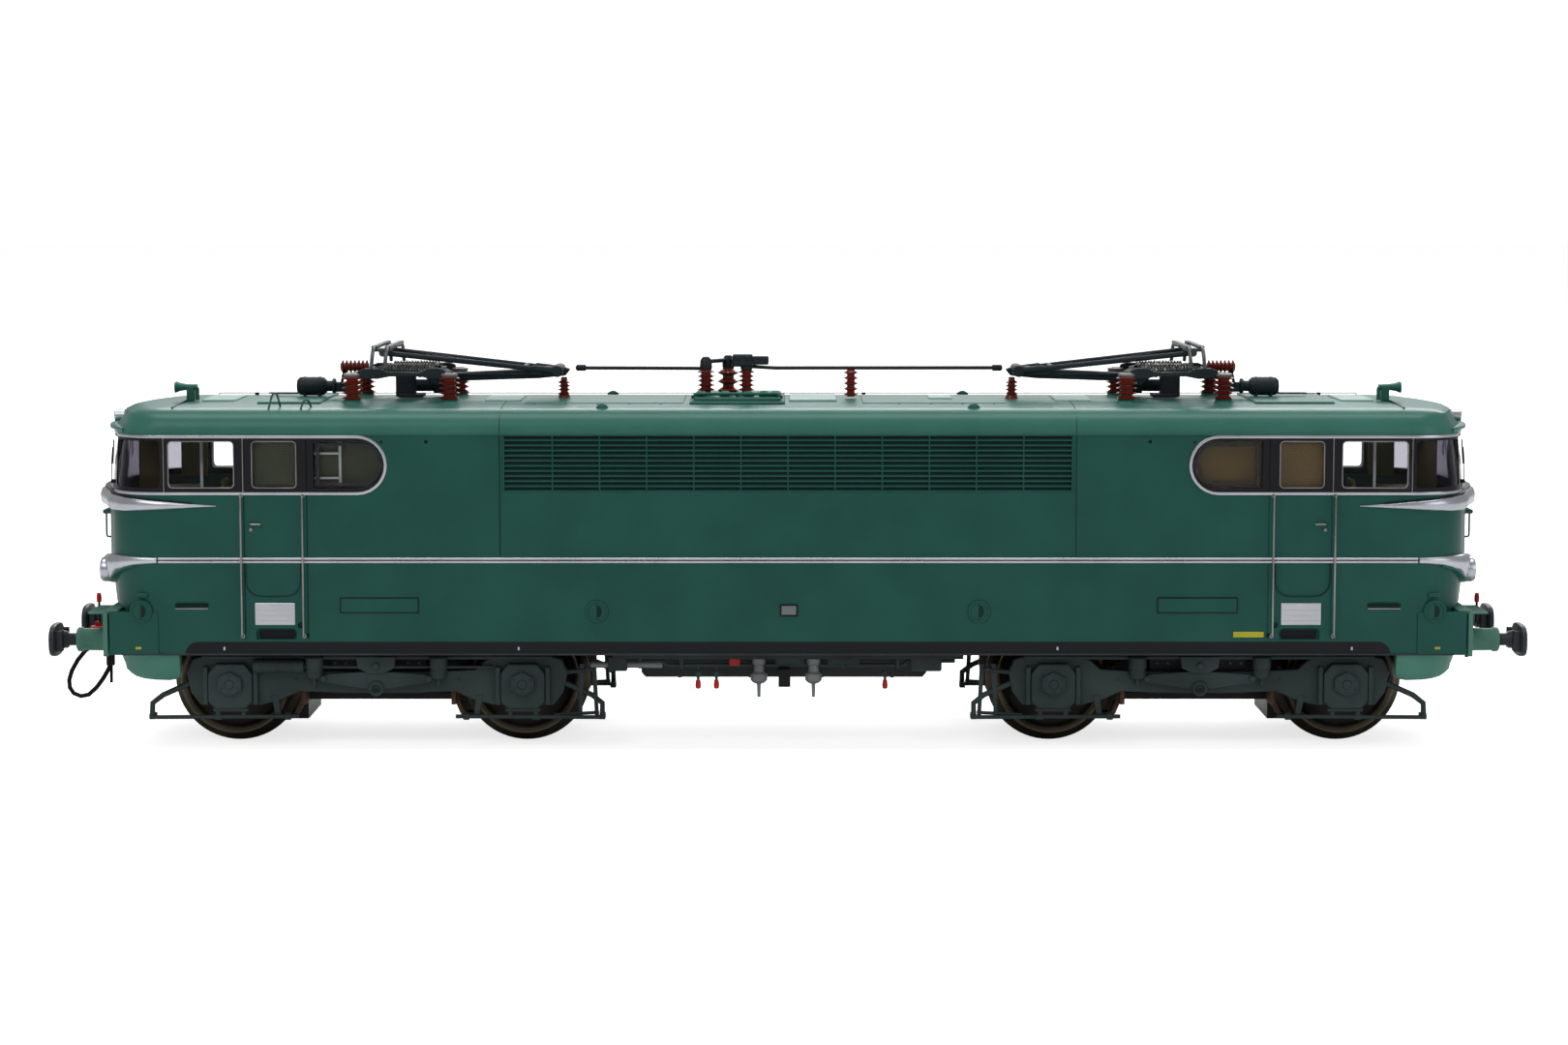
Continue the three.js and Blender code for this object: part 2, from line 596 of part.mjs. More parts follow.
// Side frame with axle boxes, equalising beam, suspension pots and brake rigging.
function sideFrame(side) {
  const x = (distance) => BOGIE_X + distance;
  const inner = 12.7;
  const face = 14.1;
  const pieces = [crosswise(frameOutline(), inner, face)];
  for (const way of [-1, 1]) {
    const axle = way * HALF_WHEELBASE;
    const boxShape = outline([
      [x(axle - 2.75), 6], [x(axle - 1.9), 5.05], [x(axle + 1.9), 5.05], [x(axle + 2.75), 6],
      [x(axle + 2.75), 9.4], [x(axle + 1.8), 10.7], [x(axle - 1.8), 10.7], [x(axle - 2.75), 9.4],
    ]);
    pieces.push(crosswise(boxShape, face - 0.4, 15.9));
    pieces.push(box(x(way * 7.8 - 1.1), x(way * 7.8 + 1.1), face - 0.4, 15.6, 8.9, 11.7));
    pieces.push(bar([x(way * 10.6), face - 0.3, 3.9], [x(way * 28.6), face - 0.3, 3.9], 0.35, 4));
    pieces.push(bar([x(way * 12.2), face - 0.3, 3.9], [x(way * 13.8), face - 0.3, 6.6], 0.4, 4));
    pieces.push(bar([x(way * 28.3), face - 0.3, 3.7], [x(way * 28.3), face - 0.3, 6.4], 0.4, 4));
    pieces.push(bar([x(way * 28.3), face - 0.3, 6.2], [x(way * 22.9), face - 0.3, 8.2], 0.4, 4));
  }
  const beam = outline([[x(-7), 8.7], [x(0), 7.4], [x(7), 8.7], [x(7), 9.8], [x(-7), 9.8]]);
  pieces.push(crosswise(beam, face - 0.4, 15), box(x(-2.5), x(2.5), face - 0.4, 15.4, 9.6, 11.7));
  const whole = union(pieces);
  return side > 0 ? whole : whole.mirror([0, 1, 0]);
}

for (const end of ENDS) {
  put(`bogie_frame_${end.tag}`, atEnd(bogieFrame(), end), 'diecast');
  put(`keeper_plate_${end.tag}`, atEnd(keeperPlate(), end), 'black');
  put(`worm_${end.tag}`, atEnd(worm(), end), 'brass');
  put(`worm_gear_${end.tag}`, atEnd(gear(BOGIE_X, WORM_WHEEL_Z, GEAR.wormWheel, 12, 5.4), end), 'black');
  for (const flank of FLANKS) {
    put(`side_frame_${end.tag}_${flank.tag}`, atEnd(sideFrame(flank.side), end), 'slate');
  }
  for (const [place, way] of [['inner', -1], ['outer', 1]]) {
    const idler = gear(BOGIE_X + way * IDLER_X, IDLER_Z, IDLER_RADIUS, 10, 5.4);
    put(`idler_gear_${end.tag}_${place}`, atEnd(idler, end), 'black');
    put(`wheelset_${end.tag}_${place}`, atEnd(wheelset(BOGIE_X + way * HALF_WHEELBASE), end), 'wheel');
  }
}

// ---------------------------------------------------------------- pantographs

// Ribbed post insulator on a small foot.
function insulator(x, y, z0, z1, sheds, radius, foot = 0.8) {
  const profile = [[0, z0], [radius * 0.85, z0], [radius * 0.6, z0 + foot]];
  const pitch = (z1 - z0 - foot) / sheds;
  for (let i = 0; i < sheds; i += 1) {
    const z = z0 + foot + i * pitch;
    profile.push(
      [radius * 0.55, z + 0.1 * pitch], [radius, z + 0.35 * pitch], [radius * 0.55, z + 0.8 * pitch],
    );
  }
  profile.push([radius * 0.55, z1], [0, z1]);
  return turned(profile, 'z', [x, y, 0], 6);
}

// Fixed frame on four insulators, with the drive post, arm brackets and the feed insulator.
function pantographBase() {
  const beamY = 7;
  const posts = [55.3, 42.9].map((x) => insulator(x, beamY, roofZ(beamY) + 0.4, 46.8, 3, 1.3));
  const beamShape = outline([
    [42.2, 46.3], [
      42.2, 47.2,
    ], [45, 47.5], [47, 47], [50, 47], [52, 47.5], [55.6, 47.2], [55.6, 46.3], [52, 46], [45, 46],
  ]);
  const beam = crosswise(beamShape, beamY - 0.5, beamY + 0.5);
  const ties = [
    bar([54, -beamY, 46.6], [54, beamY, 46.6], 0.45, 6),
    bar([46.2, -beamY, 46.6], [46.2, beamY, 46.6], 0.45, 6),
  ];
  const post = slab(47.2, 49.6, 1.2, roofZ(0) + 0.4, 46.9);
  const spine = slab(46, 54, 0.8, 46.3, 46.9);
  const bracket = box(PANTO.pivotX - 0.9, 46.5, 2, 2.8, PANTO.pivotZ - 0.9, 46.9);
  const feed = turned(
    [[0, 53.8], [0.7, 54.6], [0.4, 55.2], [0.7, 55.8], [0.4, 56.4], [0.6, 57.4], [0, 57.4]],
    'x', [0, 0, 47.1], 8,
  );
  return union(bothFlanks(union(posts, beam, bracket)), ties, post, spine, feed);
}

function pantographLowerArm() {
  const { pivotX, pivotZ, knuckleX, knuckleZ } = PANTO;
  return union(
    disc(0.95, 'y', -1.7, 1.7, [pivotX, 0, pivotZ], 10),
    bar([pivotX, 0, pivotZ], [knuckleX, 0, knuckleZ], 0.55, 8),
    disc(0.75, 'y', -1.8, 1.8, [knuckleX, 0, knuckleZ], 10),
  );
}

function pantographUpperArm() {
  const { knuckleX, knuckleZ, headX, headZ } = PANTO;
  const brace = knuckleX + 4.2;
  const rise = (headZ - knuckleZ) / (headX - knuckleX);
  const half = union(
    disc(0.75, 'y', 2.15, 3.4, [knuckleX, 0, knuckleZ], 8),
    bar([knuckleX, 2.9, knuckleZ], [headX, 4.6, headZ], 0.38, 4),
  );
  const tie = bar(
    [brace, -3.2, knuckleZ + 4.2 * rise + 0.2], [brace, 3.2, knuckleZ + 4.2 * rise + 0.2], 0.35, 4,
  );
  return union(bothFlanks(half), tie, bar([headX, -4.9, headZ], [headX, 4.9, headZ], 0.4, 6));
}

// Collector head: two contact strips with down-turned horns on a cradle round the upper arm's tube.
function pantographHead() {
  const { headX, headZ } = PANTO;
  const top = headZ + 1.1;
  const pieces = [];
  for (const x of [headX - 1.5, headX + 1.5]) {
    pieces.push(slab(x - 0.35, x + 0.35, 8, top - 0.5, top));
    for (const side of [-1, 1]) {
      pieces.push(bar([x, side * 7.9, top - 0.3], [x, side * 11, top - 2.9], 0.28, 4));
    }
  }
  for (const y of [-6, 6]) {
    pieces.push(box(headX - 1.6, headX + 1.6, y - 0.35, y + 0.35, top - 0.8, top - 0.35));
    pieces.push(box(headX - 0.4, headX + 0.4, y - 0.3, y + 0.3, headZ - 0.4, top - 0.4));
  }
  return union(pieces);
}

for (const end of ENDS) {
  put(`pantograph_base_${end.tag}`, atEnd(pantographBase(), end), 'slate');
  put(`pantograph_lower_arm_${end.tag}`, atEnd(pantographLowerArm(), end), 'slate');
  put(`pantograph_upper_arm_${end.tag}`, atEnd(pantographUpperArm(), end), 'slate');
  put(`pantograph_head_${end.tag}`, atEnd(pantographHead(), end), 'slate');
  put(`arm_rest_${end.tag}`, atEnd(insulator(29.2, 0, roofZ(0) + GAP, 45.5, 3, 0.9), end), 'insulator');
}

// ---------------------------------------------------------------- roof equipment

// Cast plate of the main circuit breaker, with its row of air valves.
function breakerBase() {
  const plate = slab(-12.5, -0.4, 7.6, roofZ(0) + GAP, 44.1);
  const humps = [-11, -8, -3, -1.6].map((x) => disc(0.65, 'z', 43.9, 44.7, [x, -5.6, 0], 8));
  return union(plate, humps);
}

// Breaker poles on their insulators, with the short busbar towards end a.
function breakerUnit() {
  const z = 44.1 + GAP;
  const poles = [[-10.5, -2, 3, 1.05], [-7.7, 2, 2, 1.36], [-5.3, -2, 3, 1.05]];
  const insulators = poles.map(([x, y, sheds, radius]) => insulator(x, y, z, 47.4, sheds, radius, 0.3));
  const heads = poles.map(([x, y]) => disc(0.6, 'z', 47.2, 48.6, [x, y, 0], 8));
  const bridge = union(
    bar([-10.5, -2, 48], [-7.7, 2, 48], 0.3, 6), bar([-7.7, 2, 48], [-5.3, -2, 48], 0.3, 6),
  );
  const contact = box(-5.5, -2.4, -2.8, -1.2, 47.6, 48.7);
  const busbar = bar([-10.5, -2, 47.7], [-27.3, 0, 47.1], 0.25, 6);
  return union(insulators, heads, bridge, contact, busbar);
}

// Long busbar towards end b on its own support insulator.
function longBusbar() {
  const support = insulator(8.1, 0, roofZ(0) + GAP, 46.9, 4, 0.95);
  return union(support, bar([-1.6, -0.6, 47.1], [27.6, 0, 47.1], 0.25, 6));
}

// Twin-tone horn on a bracket, its bell facing the cab end.
function horn() {
  const y = -3;
  const trumpet = [[0, 75.6], [0.35, 75.6], [0.4, 77.2], [0.75, 78], [1.05, 78.4], [0, 78.4]];
  return union(turned(trumpet, 'x', [0, y, 44.7], 10), disc(0.4, 'z', roofZ(y) + GAP, 44.8, [76.2, y, 0], 8));
}

// Small air tank of the pantograph drive, lying on two feet on the raised hatch.
function airTank() {
  const drum = [[0, 59.2], [1, 59.2], [1.2, 59.5], [1.2, 62.9], [1, 63.2], [0, 63.2]];
  const feet = [60.2, 62.2].map((x) => slab(x - 0.2, x + 0.2, 0.8, 43.9 + GAP, 45));
  return union(turned(drum, 'x', [0, 0, 45.5], 12), feet);
}

put('breaker_base', breakerBase(), 'lightGreen');
put('breaker_unit', breakerUnit(), 'insulator');
put('busbar', longBusbar(), 'steel');
for (const end of ENDS) {
  put(`horn_${end.tag}`, atEnd(horn(), end), 'lightGreen');
  put(`air_tank_${end.tag}`, atEnd(airTank(), end), 'slate');
}

export default model;
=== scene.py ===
"""Looks of an H0 model electric locomotive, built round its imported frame.

Lengths in this script are millimetres until a helper scales them by MM. X runs along the locomotive, Y across
it and Z up. Pieces are modelled at end b (+X) on the near side (-Y) and mirrored to the other quarters.
"""

import math

import bpy
from mathutils import Matrix, Vector


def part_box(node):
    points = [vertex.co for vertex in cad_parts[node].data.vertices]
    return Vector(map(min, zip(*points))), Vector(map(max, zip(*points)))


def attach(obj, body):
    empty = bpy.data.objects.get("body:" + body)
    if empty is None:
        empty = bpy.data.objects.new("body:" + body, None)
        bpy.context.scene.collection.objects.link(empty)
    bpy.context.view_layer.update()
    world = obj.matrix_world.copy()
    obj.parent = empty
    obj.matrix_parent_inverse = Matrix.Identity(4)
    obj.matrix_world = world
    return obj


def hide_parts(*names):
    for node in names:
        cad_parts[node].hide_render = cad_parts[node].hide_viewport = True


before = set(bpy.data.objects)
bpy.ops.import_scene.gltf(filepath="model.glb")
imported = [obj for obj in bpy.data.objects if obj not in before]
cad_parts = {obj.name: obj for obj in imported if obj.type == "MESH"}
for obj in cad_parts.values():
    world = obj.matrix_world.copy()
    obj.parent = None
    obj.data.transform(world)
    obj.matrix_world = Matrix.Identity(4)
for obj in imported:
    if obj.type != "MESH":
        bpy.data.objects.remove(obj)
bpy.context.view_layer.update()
CAD_PIECES = [piece for piece in bpy.data.objects if piece.type == "MESH"]
MM = 0.001


def node_box(node):
    """Lowest and highest corner of a frame node, in millimetres."""
    low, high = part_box(node)
    return [value / MM for value in low], [value / MM for value in high]


# ---------------------------------------------------------------- places taken from the frame

SHELL_LOW, SHELL_HIGH = node_box("body_shell")
BUFFER_LOW, BUFFER_HIGH = node_box("buffer_b_near")
WHEEL_LOW, WHEEL_HIGH = node_box("wheelset_b_outer")
INNER_LOW, INNER_HIGH = node_box("wheelset_b_inner")

HALF_WIDTH = 17.0
BODY_BOTTOM = SHELL_LOW[2]
BODY_TOP = SHELL_HIGH[2] + 0.15
ROOF_BOTTOM = BODY_TOP + 0.04
LEDGE_Z = 17.7
BOW = 2.0
CORNER = 6.5
WALL = 1.0

BUFFER_Y = (BUFFER_LOW[1] + BUFFER_HIGH[1]) / 2
BUFFER_Y_ABS = abs(BUFFER_Y)
BUFFER_Z = (BUFFER_LOW[2] + BUFFER_HIGH[2]) / 2
BUFFER_END = BUFFER_HIGH[0]
BEAM_FACE = 85.45

AXLE_Z = (WHEEL_LOW[2] + WHEEL_HIGH[2]) / 2
OUTER_AXLE = (WHEEL_LOW[0] + WHEEL_HIGH[0]) / 2
INNER_AXLE = (INNER_LOW[0] + INNER_HIGH[0]) / 2
BOGIE_X = (OUTER_AXLE + INNER_AXLE) / 2

WINDOW_LOW = 33.0
WINDOW_HIGH = 38.9
TRIM_LOW = 32.35
TRIM_HIGH = 39.42
BAND_RADIUS = (TRIM_HIGH - TRIM_LOW) / 2
BAND_Z = (TRIM_HIGH + TRIM_LOW) / 2
BAND_END_X = 49.95 + BAND_RADIUS


# ---------------------------------------------------------------- modelling helpers


def clear_selection():
    bpy.ops.object.select_all(action="DESELECT")


def only(piece):
    clear_selection()
    piece.select_set(True)
    bpy.context.view_layer.objects.active = piece


def added(name):
    """Names the primitive that was just added."""
    piece = bpy.context.object
    piece.name = name
    piece.data.name = name
    return piece


def settle(piece):
    only(piece)
    bpy.ops.object.transform_apply(location=True, rotation=True, scale=True)
    return piece


def apply_modifiers(piece):
    only(piece)
    for modifier in list(piece.modifiers):
        bpy.ops.object.modifier_apply(modifier=modifier.name)
    return piece


def rounded(piece, width, segments=2, angle=35):
    """Bevels every edge sharper than the angle."""
    bevel = piece.modifiers.new("edge", "BEVEL")
    bevel.width = width * MM
    bevel.segments = segments
    bevel.limit_method = "ANGLE"
    bevel.angle_limit = math.radians(angle)
    return apply_modifiers(piece)


def block(name, x, y, z, edge=0.08, segments=2):
    """A block between two corners with its edges rounded."""
    clear_selection()
    centre = [(low + high) / 2 * MM for low, high in (x, y, z)]
    bpy.ops.mesh.primitive_cube_add(size=1, location=centre)
    piece = added(name)
    piece.scale = [(high - low) * MM for low, high in (x, y, z)]
    settle(piece)
    return rounded(piece, edge, segments) if edge else piece


PLANES = {
    "xz": lambda a, b, c: Vector((a, c, b)) * MM,
    "xy": lambda a, b, c: Vector((a, b, c)) * MM,
    "yz": lambda a, b, c: Vector((c, a, b)) * MM,
}


def traced(name, outline, across, plane="xz", edge=0.06, segments=1):
    """A flat outline, drawn in a plane, extruded across it."""
    clear_selection()
    bpy.ops.mesh.primitive_circle_add(vertices=len(outline), radius=MM, fill_type="NGON")
    piece = added(name)
    for vertex, (a, b) in zip(piece.data.vertices, outline):
        vertex.co = PLANES[plane](a, b, across[0])
    bpy.ops.object.mode_set(mode="EDIT")
    bpy.ops.mesh.select_all(action="SELECT")
    move = PLANES[plane](0, 0, across[1] - across[0])
    bpy.ops.mesh.extrude_region_move(TRANSFORM_OT_translate={"value": move})
    bpy.ops.mesh.select_all(action="SELECT")
    bpy.ops.mesh.normals_make_consistent(inside=False)
    bpy.ops.object.mode_set(mode="OBJECT")
    return rounded(piece, edge, segments) if edge else piece


AXES = {"x": Vector((1, 0, 0)), "y": Vector((0, 1, 0)), "z": Vector((0, 0, 1))}
SPOKES = {"x": Vector((0, 0, 1)), "y": Vector((0, 0, 1)), "z": Vector((1, 0, 0))}


def turned(name, profile, axis, centre, steps=24, smooth=40):
    """A profile of (radius, distance along the axis), spun round the axis. Its ends lie on the axis."""
    clear_selection()
    bpy.ops.mesh.primitive_circle_add(vertices=len(profile), radius=MM, fill_type="NOTHING")
    piece = added(name)
    along, spoke = AXES[axis], SPOKES[axis]
    origin = Vector(centre) * MM
    for vertex, (radius, distance) in zip(piece.data.vertices, profile):
        vertex.co = origin + (spoke * radius + along * distance) * MM
    bpy.ops.object.mode_set(mode="EDIT")
    bpy.ops.mesh.select_all(action="SELECT")
    bpy.ops.mesh.spin(steps=steps, angle=2 * math.pi, center=origin, axis=along)
    bpy.ops.mesh.select_all(action="SELECT")
    bpy.ops.mesh.remove_doubles(threshold=2e-6)
    bpy.ops.mesh.delete_loose(use_verts=True, use_edges=True, use_faces=False)
    bpy.ops.mesh.select_all(action="SELECT")
    bpy.ops.mesh.normals_make_consistent(inside=False)
    bpy.ops.object.mode_set(mode="OBJECT")
    return smoothed(piece, smooth)


def disc(name, radius, axis, span, centre, steps=20, edge=0.06):
    """A short round boss with a chamfer at both ends."""
    low, high = span
    profile = [(0, low), (radius - edge, low), (radius, low + edge)]
    profile += [(radius, high - edge), (radius - edge, high), (0, high)]
    return turned(name, profile, axis, centre, steps)


def shaped_tube(name, rings, smooth=35):
    """A tube primitive cut into as many rings as given, each ring then moved to its own points."""
    count, last = len(rings[0]), len(rings) - 1
    clear_selection()
    bpy.ops.mesh.primitive_cylinder_add(vertices=count, radius=1, depth=1, end_fill_type="NGON")
    piece = added(name)
    mesh = piece.data
    bpy.ops.object.mode_set(mode="EDIT")
    bpy.ops.mesh.select_mode(type="EDGE")
    bpy.ops.mesh.select_all(action="DESELECT")
    bpy.ops.object.mode_set(mode="OBJECT")
    for edge in mesh.edges:
        low, high = (mesh.vertices[i].co.z for i in edge.vertices)
        edge.select = abs(high - low) > 0.5
    bpy.ops.object.mode_set(mode="EDIT")
    if last > 1:
        bpy.ops.mesh.subdivide(number_cuts=last - 1)
    bpy.ops.object.mode_set(mode="OBJECT")
    for vertex in mesh.vertices:
        x, y, z = vertex.co
        ring = rings[round((z + 0.5) * last)]
        vertex.co = Vector(ring[round(math.atan2(y, x) / math.tau * count) % count]) * MM
    return squared_up(piece, smooth)


def squared_up(piece, smooth=35):
    """Merges what came together and turns every face outwards."""
    only(piece)
    bpy.ops.object.mode_set(mode="EDIT")
    bpy.ops.mesh.select_all(action="SELECT")
    bpy.ops.mesh.remove_doubles(threshold=2e-6)
    bpy.ops.mesh.normals_make_consistent(inside=False)
    bpy.ops.mesh.select_mode(type="VERT")
    bpy.ops.object.mode_set(mode="OBJECT")
    return smoothed(piece, smooth)


def ring_loft(name, rings, smooth=35):
    """A closed band: a ring primitive whose round sections are moved to the given points."""
    clear_selection()
    bpy.ops.mesh.primitive_torus_add(major_segments=len(rings), minor_segments=len(rings[0]))
    piece = added(name)
    points = [point for ring in rings for point in ring]
    for vertex, point in zip(piece.data.vertices, points):
        vertex.co = Vector(point) * MM
    return squared_up(piece, smooth)


def pipe(name, points, radius, sides=8):
    """A round rod or wire along a run of points."""
    places = [Vector(point) for point in points]
    rings = []
    side = None
    for i, place in enumerate(places):
        before = (place - places[i - 1]).normalized() if i else (places[1] - place).normalized()
        after = (places[i + 1] - place).normalized() if i < len(places) - 1 else before
        ahead = (before + after).normalized()
        if side is None:
            side = ahead.cross(Vector((0, 1, 0)) if abs(ahead.y) < 0.9 else Vector((1, 0, 0)))
        side = (side - ahead * side.dot(ahead)).normalized()
        lift = ahead.cross(side)
        turns = [math.tau * j / sides for j in range(sides)]
        rings.append([place + (side * math.cos(t) + lift * math.sin(t)) * radius for t in turns])
    return shaped_tube(name, rings, 50)


def bent(points, radius, steps=4):
    """The run of points with an arc-like blend in place of each inner corner."""
    run = [Vector(point) for point in points]
    result = [run[0]]
    for before, corner, after in zip(run, run[1:], run[2:]):
        start = corner + (before - corner).normalized() * radius
        end = corner + (after - corner).normalized() * radius
        for i in range(steps + 1):
            share = i / steps
            result.append(start * (1 - share) ** 2 + corner * 2 * share * (1 - share) + end * share ** 2)
    return result + [run[-1]]


def smoothed(piece, angle=35):
    only(piece)
    bpy.ops.object.shade_smooth_by_angle(angle=math.radians(angle))
    return piece


def joined(name, *pieces):
    """One piece out of several."""
    parts = [part for group in pieces for part in (group if isinstance(group, (list, tuple)) else [group])]
    clear_selection()
    for part in parts:
        part.select_set(True)
    bpy.context.view_layer.objects.active = parts[0]
    if len(parts) > 1:
        bpy.ops.object.join()
    return added(name)


def cut(piece, *cutters):
    """Takes the cutters out of the piece."""
    tool = joined("cutter", *cutters)
    boolean = piece.modifiers.new("cut", "BOOLEAN")
    boolean.operation = "DIFFERENCE"
    boolean.solver = "EXACT"
    boolean.use_self = True
    boolean.object = tool
    apply_modifiers(piece)
    bpy.data.objects.remove(tool)
    return piece


def placed(piece, name, matrix):
    """A copy with its own mesh, moved by a matrix whose distances are metres."""
    twin = piece.copy()
    twin.data = piece.data.copy()
    twin.name = name
    twin.data.name = name
    bpy.context.collection.objects.link(twin)
    twin.data.transform(matrix)
    if matrix.determinant() < 0:
        twin.data.flip_normals()
    return twin


def mirrored(piece, name, x=1, y=1):
    return placed(piece, name, Matrix.Diagonal((x, y, 1, 1)))


def shifted(piece, name, x=0, y=0, z=0):
    return placed(piece, name, Matrix.Translation(Vector((x, y, z)) * MM))


def both_flanks(name, *pieces):
    """The piece joined with its mirror image across the locomotive."""
    near = joined(name, *pieces)
    return joined(name, near, mirrored(near, name + "_far", y=-1))


def all_quarters(name, *pieces):
    """The piece joined with its images on the other flank and at the other end."""
    half = both_flanks(name, *pieces)
    return joined(name, half, mirrored(half, name + "_end", x=-1))


def dress(piece, finish, body="root", replaces=()):
    """Gives a piece its finish and the body that it rides on."""
    piece.data.materials.clear()
    piece.data.materials.append(finish)
    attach(piece, body)
    if replaces:
        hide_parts(*replaces)
    return piece


# ---------------------------------------------------------------- the body's plan


def nose_at(z):
    """How far the nose reaches at a height: it leans out to the belt and back again to the windscreen."""
    profile = [(12, 85.6), (18, 86.4), (24, 87.0), (31, 87.0), (33, 86.6), (39.5, 86.2), (60, 86.2)]
    for (z0, x0), (z1, x1) in zip(profile, profile[1:]):
        if z <= z1:
            return x0 + (x1 - x0) * max(0, z - z0) / (z1 - z0)
    return profile[-1][1]


def plan_parts(z, out):
    """Radius of the plan's corner, the corner's centre and the front's shoulder, grown outwards."""
    radius = max(CORNER + out, 0.8)
    shoulder = nose_at(z) - BOW + out
    return radius, shoulder - radius, HALF_WIDTH + out - radius, shoulder


def on_body(s, z, out=0.0):
    """Point at a distance s from the middle along the near side, round the corner and across the nose."""
    radius, corner_x, corner_y, shoulder = plan_parts(z, 0)
    if s <= corner_x:
        return (s, -HALF_WIDTH - out, z)
    angle = (s - corner_x) / radius
    if angle < math.pi / 2:
        reach = radius + out
        return (corner_x + reach * math.sin(angle), -corner_y - reach * math.cos(angle), z)
    share = (s - corner_x - radius * math.pi / 2) / corner_y
    return (shoulder + BOW * (1 - (1 - share) ** 2) + out, -corner_y * (1 - share), z)


def nose_s(z):
    """Distance s at the middle of the nose."""
    radius, corner_x, corner_y, _ = plan_parts(z, 0)
    return corner_x + radius * math.pi / 2 + corner_y


def plan_ring(z, out=0.0, corner_steps=8, front_steps=8):
    """Closed ring of points round the body at a height, grown outwards."""
    radius, corner_x, corner_y, shoulder = plan_parts(z, out)
    quarter = []
    for i in range(corner_steps + 1):
        angle = math.pi / 2 * i / corner_steps
        quarter.append((corner_x + radius * math.sin(angle), -corner_y - radius * math.cos(angle)))
    for i in range(1, front_steps + 1):
        share = i / front_steps
        quarter.append((shoulder + BOW * (1 - (1 - share) ** 2), -corner_y * (1 - share)))
    end = quarter + [(x, -y) for x, y in reversed(quarter[:-1])]
    return [(x, y, z) for x, y in end] + [(-x, y, z) for x, y in reversed(end)]


def swept(name, stations, bulge=True):
    """A trim strip wrapped on the body. A station is (s, low z, high z, how proud it stands)."""
    rings = []
    for s, low, high, proud in stations:
        middle = (low + high) / 2
        drop = (high - low) * 0.18
        section = [(low, -0.3), (low, proud * 0.55), (low + drop, proud),
                   (middle, proud * (1.08 if bulge else 1))]
        section += [(high - drop, proud), (high, proud * 0.55), (high, -0.3)]
        rings.append([on_body(s, z, out) for z, out in section])
    return shaped_tube(name, rings, 50)


# ---------------------------------------------------------------- finishes


def group_socket(group, name, way, kind, value=None):
    socket = group.interface.new_socket(name=name, in_out=way, socket_type=kind)
    if value is not None:
        socket.default_value = value
    return socket


def grain_group():
    """Fine moulded grain with a slow drift in tone: gives a bump, a shade factor and a roughness."""
    group = bpy.data.node_groups.new("moulded_grain", "ShaderNodeTree")
    group_socket(group, "Grain Scale", "INPUT", "NodeSocketFloat", 9000.0)
    group_socket(group, "Bump Strength", "INPUT", "NodeSocketFloat", 0.1)
    group_socket(group, "Roughness", "INPUT", "NodeSocketFloat", 0.45)
    group_socket(group, "Roughness Spread", "INPUT", "NodeSocketFloat", 0.1)
    group_socket(group, "Normal", "OUTPUT", "NodeSocketVector")
    group_socket(group, "Tone", "OUTPUT", "NodeSocketFloat")
    group_socket(group, "Roughness", "OUTPUT", "NodeSocketFloat")
    nodes, links = group.nodes, group.links
    inputs = nodes.new("NodeGroupInput")
    outputs = nodes.new("NodeGroupOutput")
    place = nodes.new("ShaderNodeTexCoord")
    fine = nodes.new("ShaderNodeTexNoise")
    fine.inputs["Detail"].default_value = 3
    slow = nodes.new("ShaderNodeTexNoise")
    slow.inputs["Scale"].default_value = 120
    slow.inputs["Detail"].default_value = 4
    bump = nodes.new("ShaderNodeBump")
    bump.inputs["Distance"].default_value = 0.00003
    spread = nodes.new("ShaderNodeMath")
    spread.operation = "MULTIPLY_ADD"
    centred = nodes.new("ShaderNodeMath")
    centred.operation = "SUBTRACT"
    centred.inputs[1].default_value = 0.5
    links.new(place.outputs["Object"], fine.inputs["Vector"])
    links.new(place.outputs["Object"], slow.inputs["Vector"])
    links.new(inputs.outputs["Grain Scale"], fine.inputs["Scale"])
    links.new(inputs.outputs["Bump Strength"], bump.inputs["Strength"])
    links.new(fine.outputs["Fac"], bump.inputs["Height"])
    links.new(slow.outputs["Fac"], centred.inputs[0])
    links.new(centred.outputs[0], spread.inputs[0])
    links.new(inputs.outputs["Roughness Spread"], spread.inputs[1])
    links.new(inputs.outputs["Roughness"], spread.inputs[2])
    links.new(bump.outputs["Normal"], outputs.inputs["Normal"])
    links.new(slow.outputs["Fac"], outputs.inputs["Tone"])
    links.new(spread.outputs[0], outputs.inputs["Roughness"])
    return group


GRAIN = grain_group()


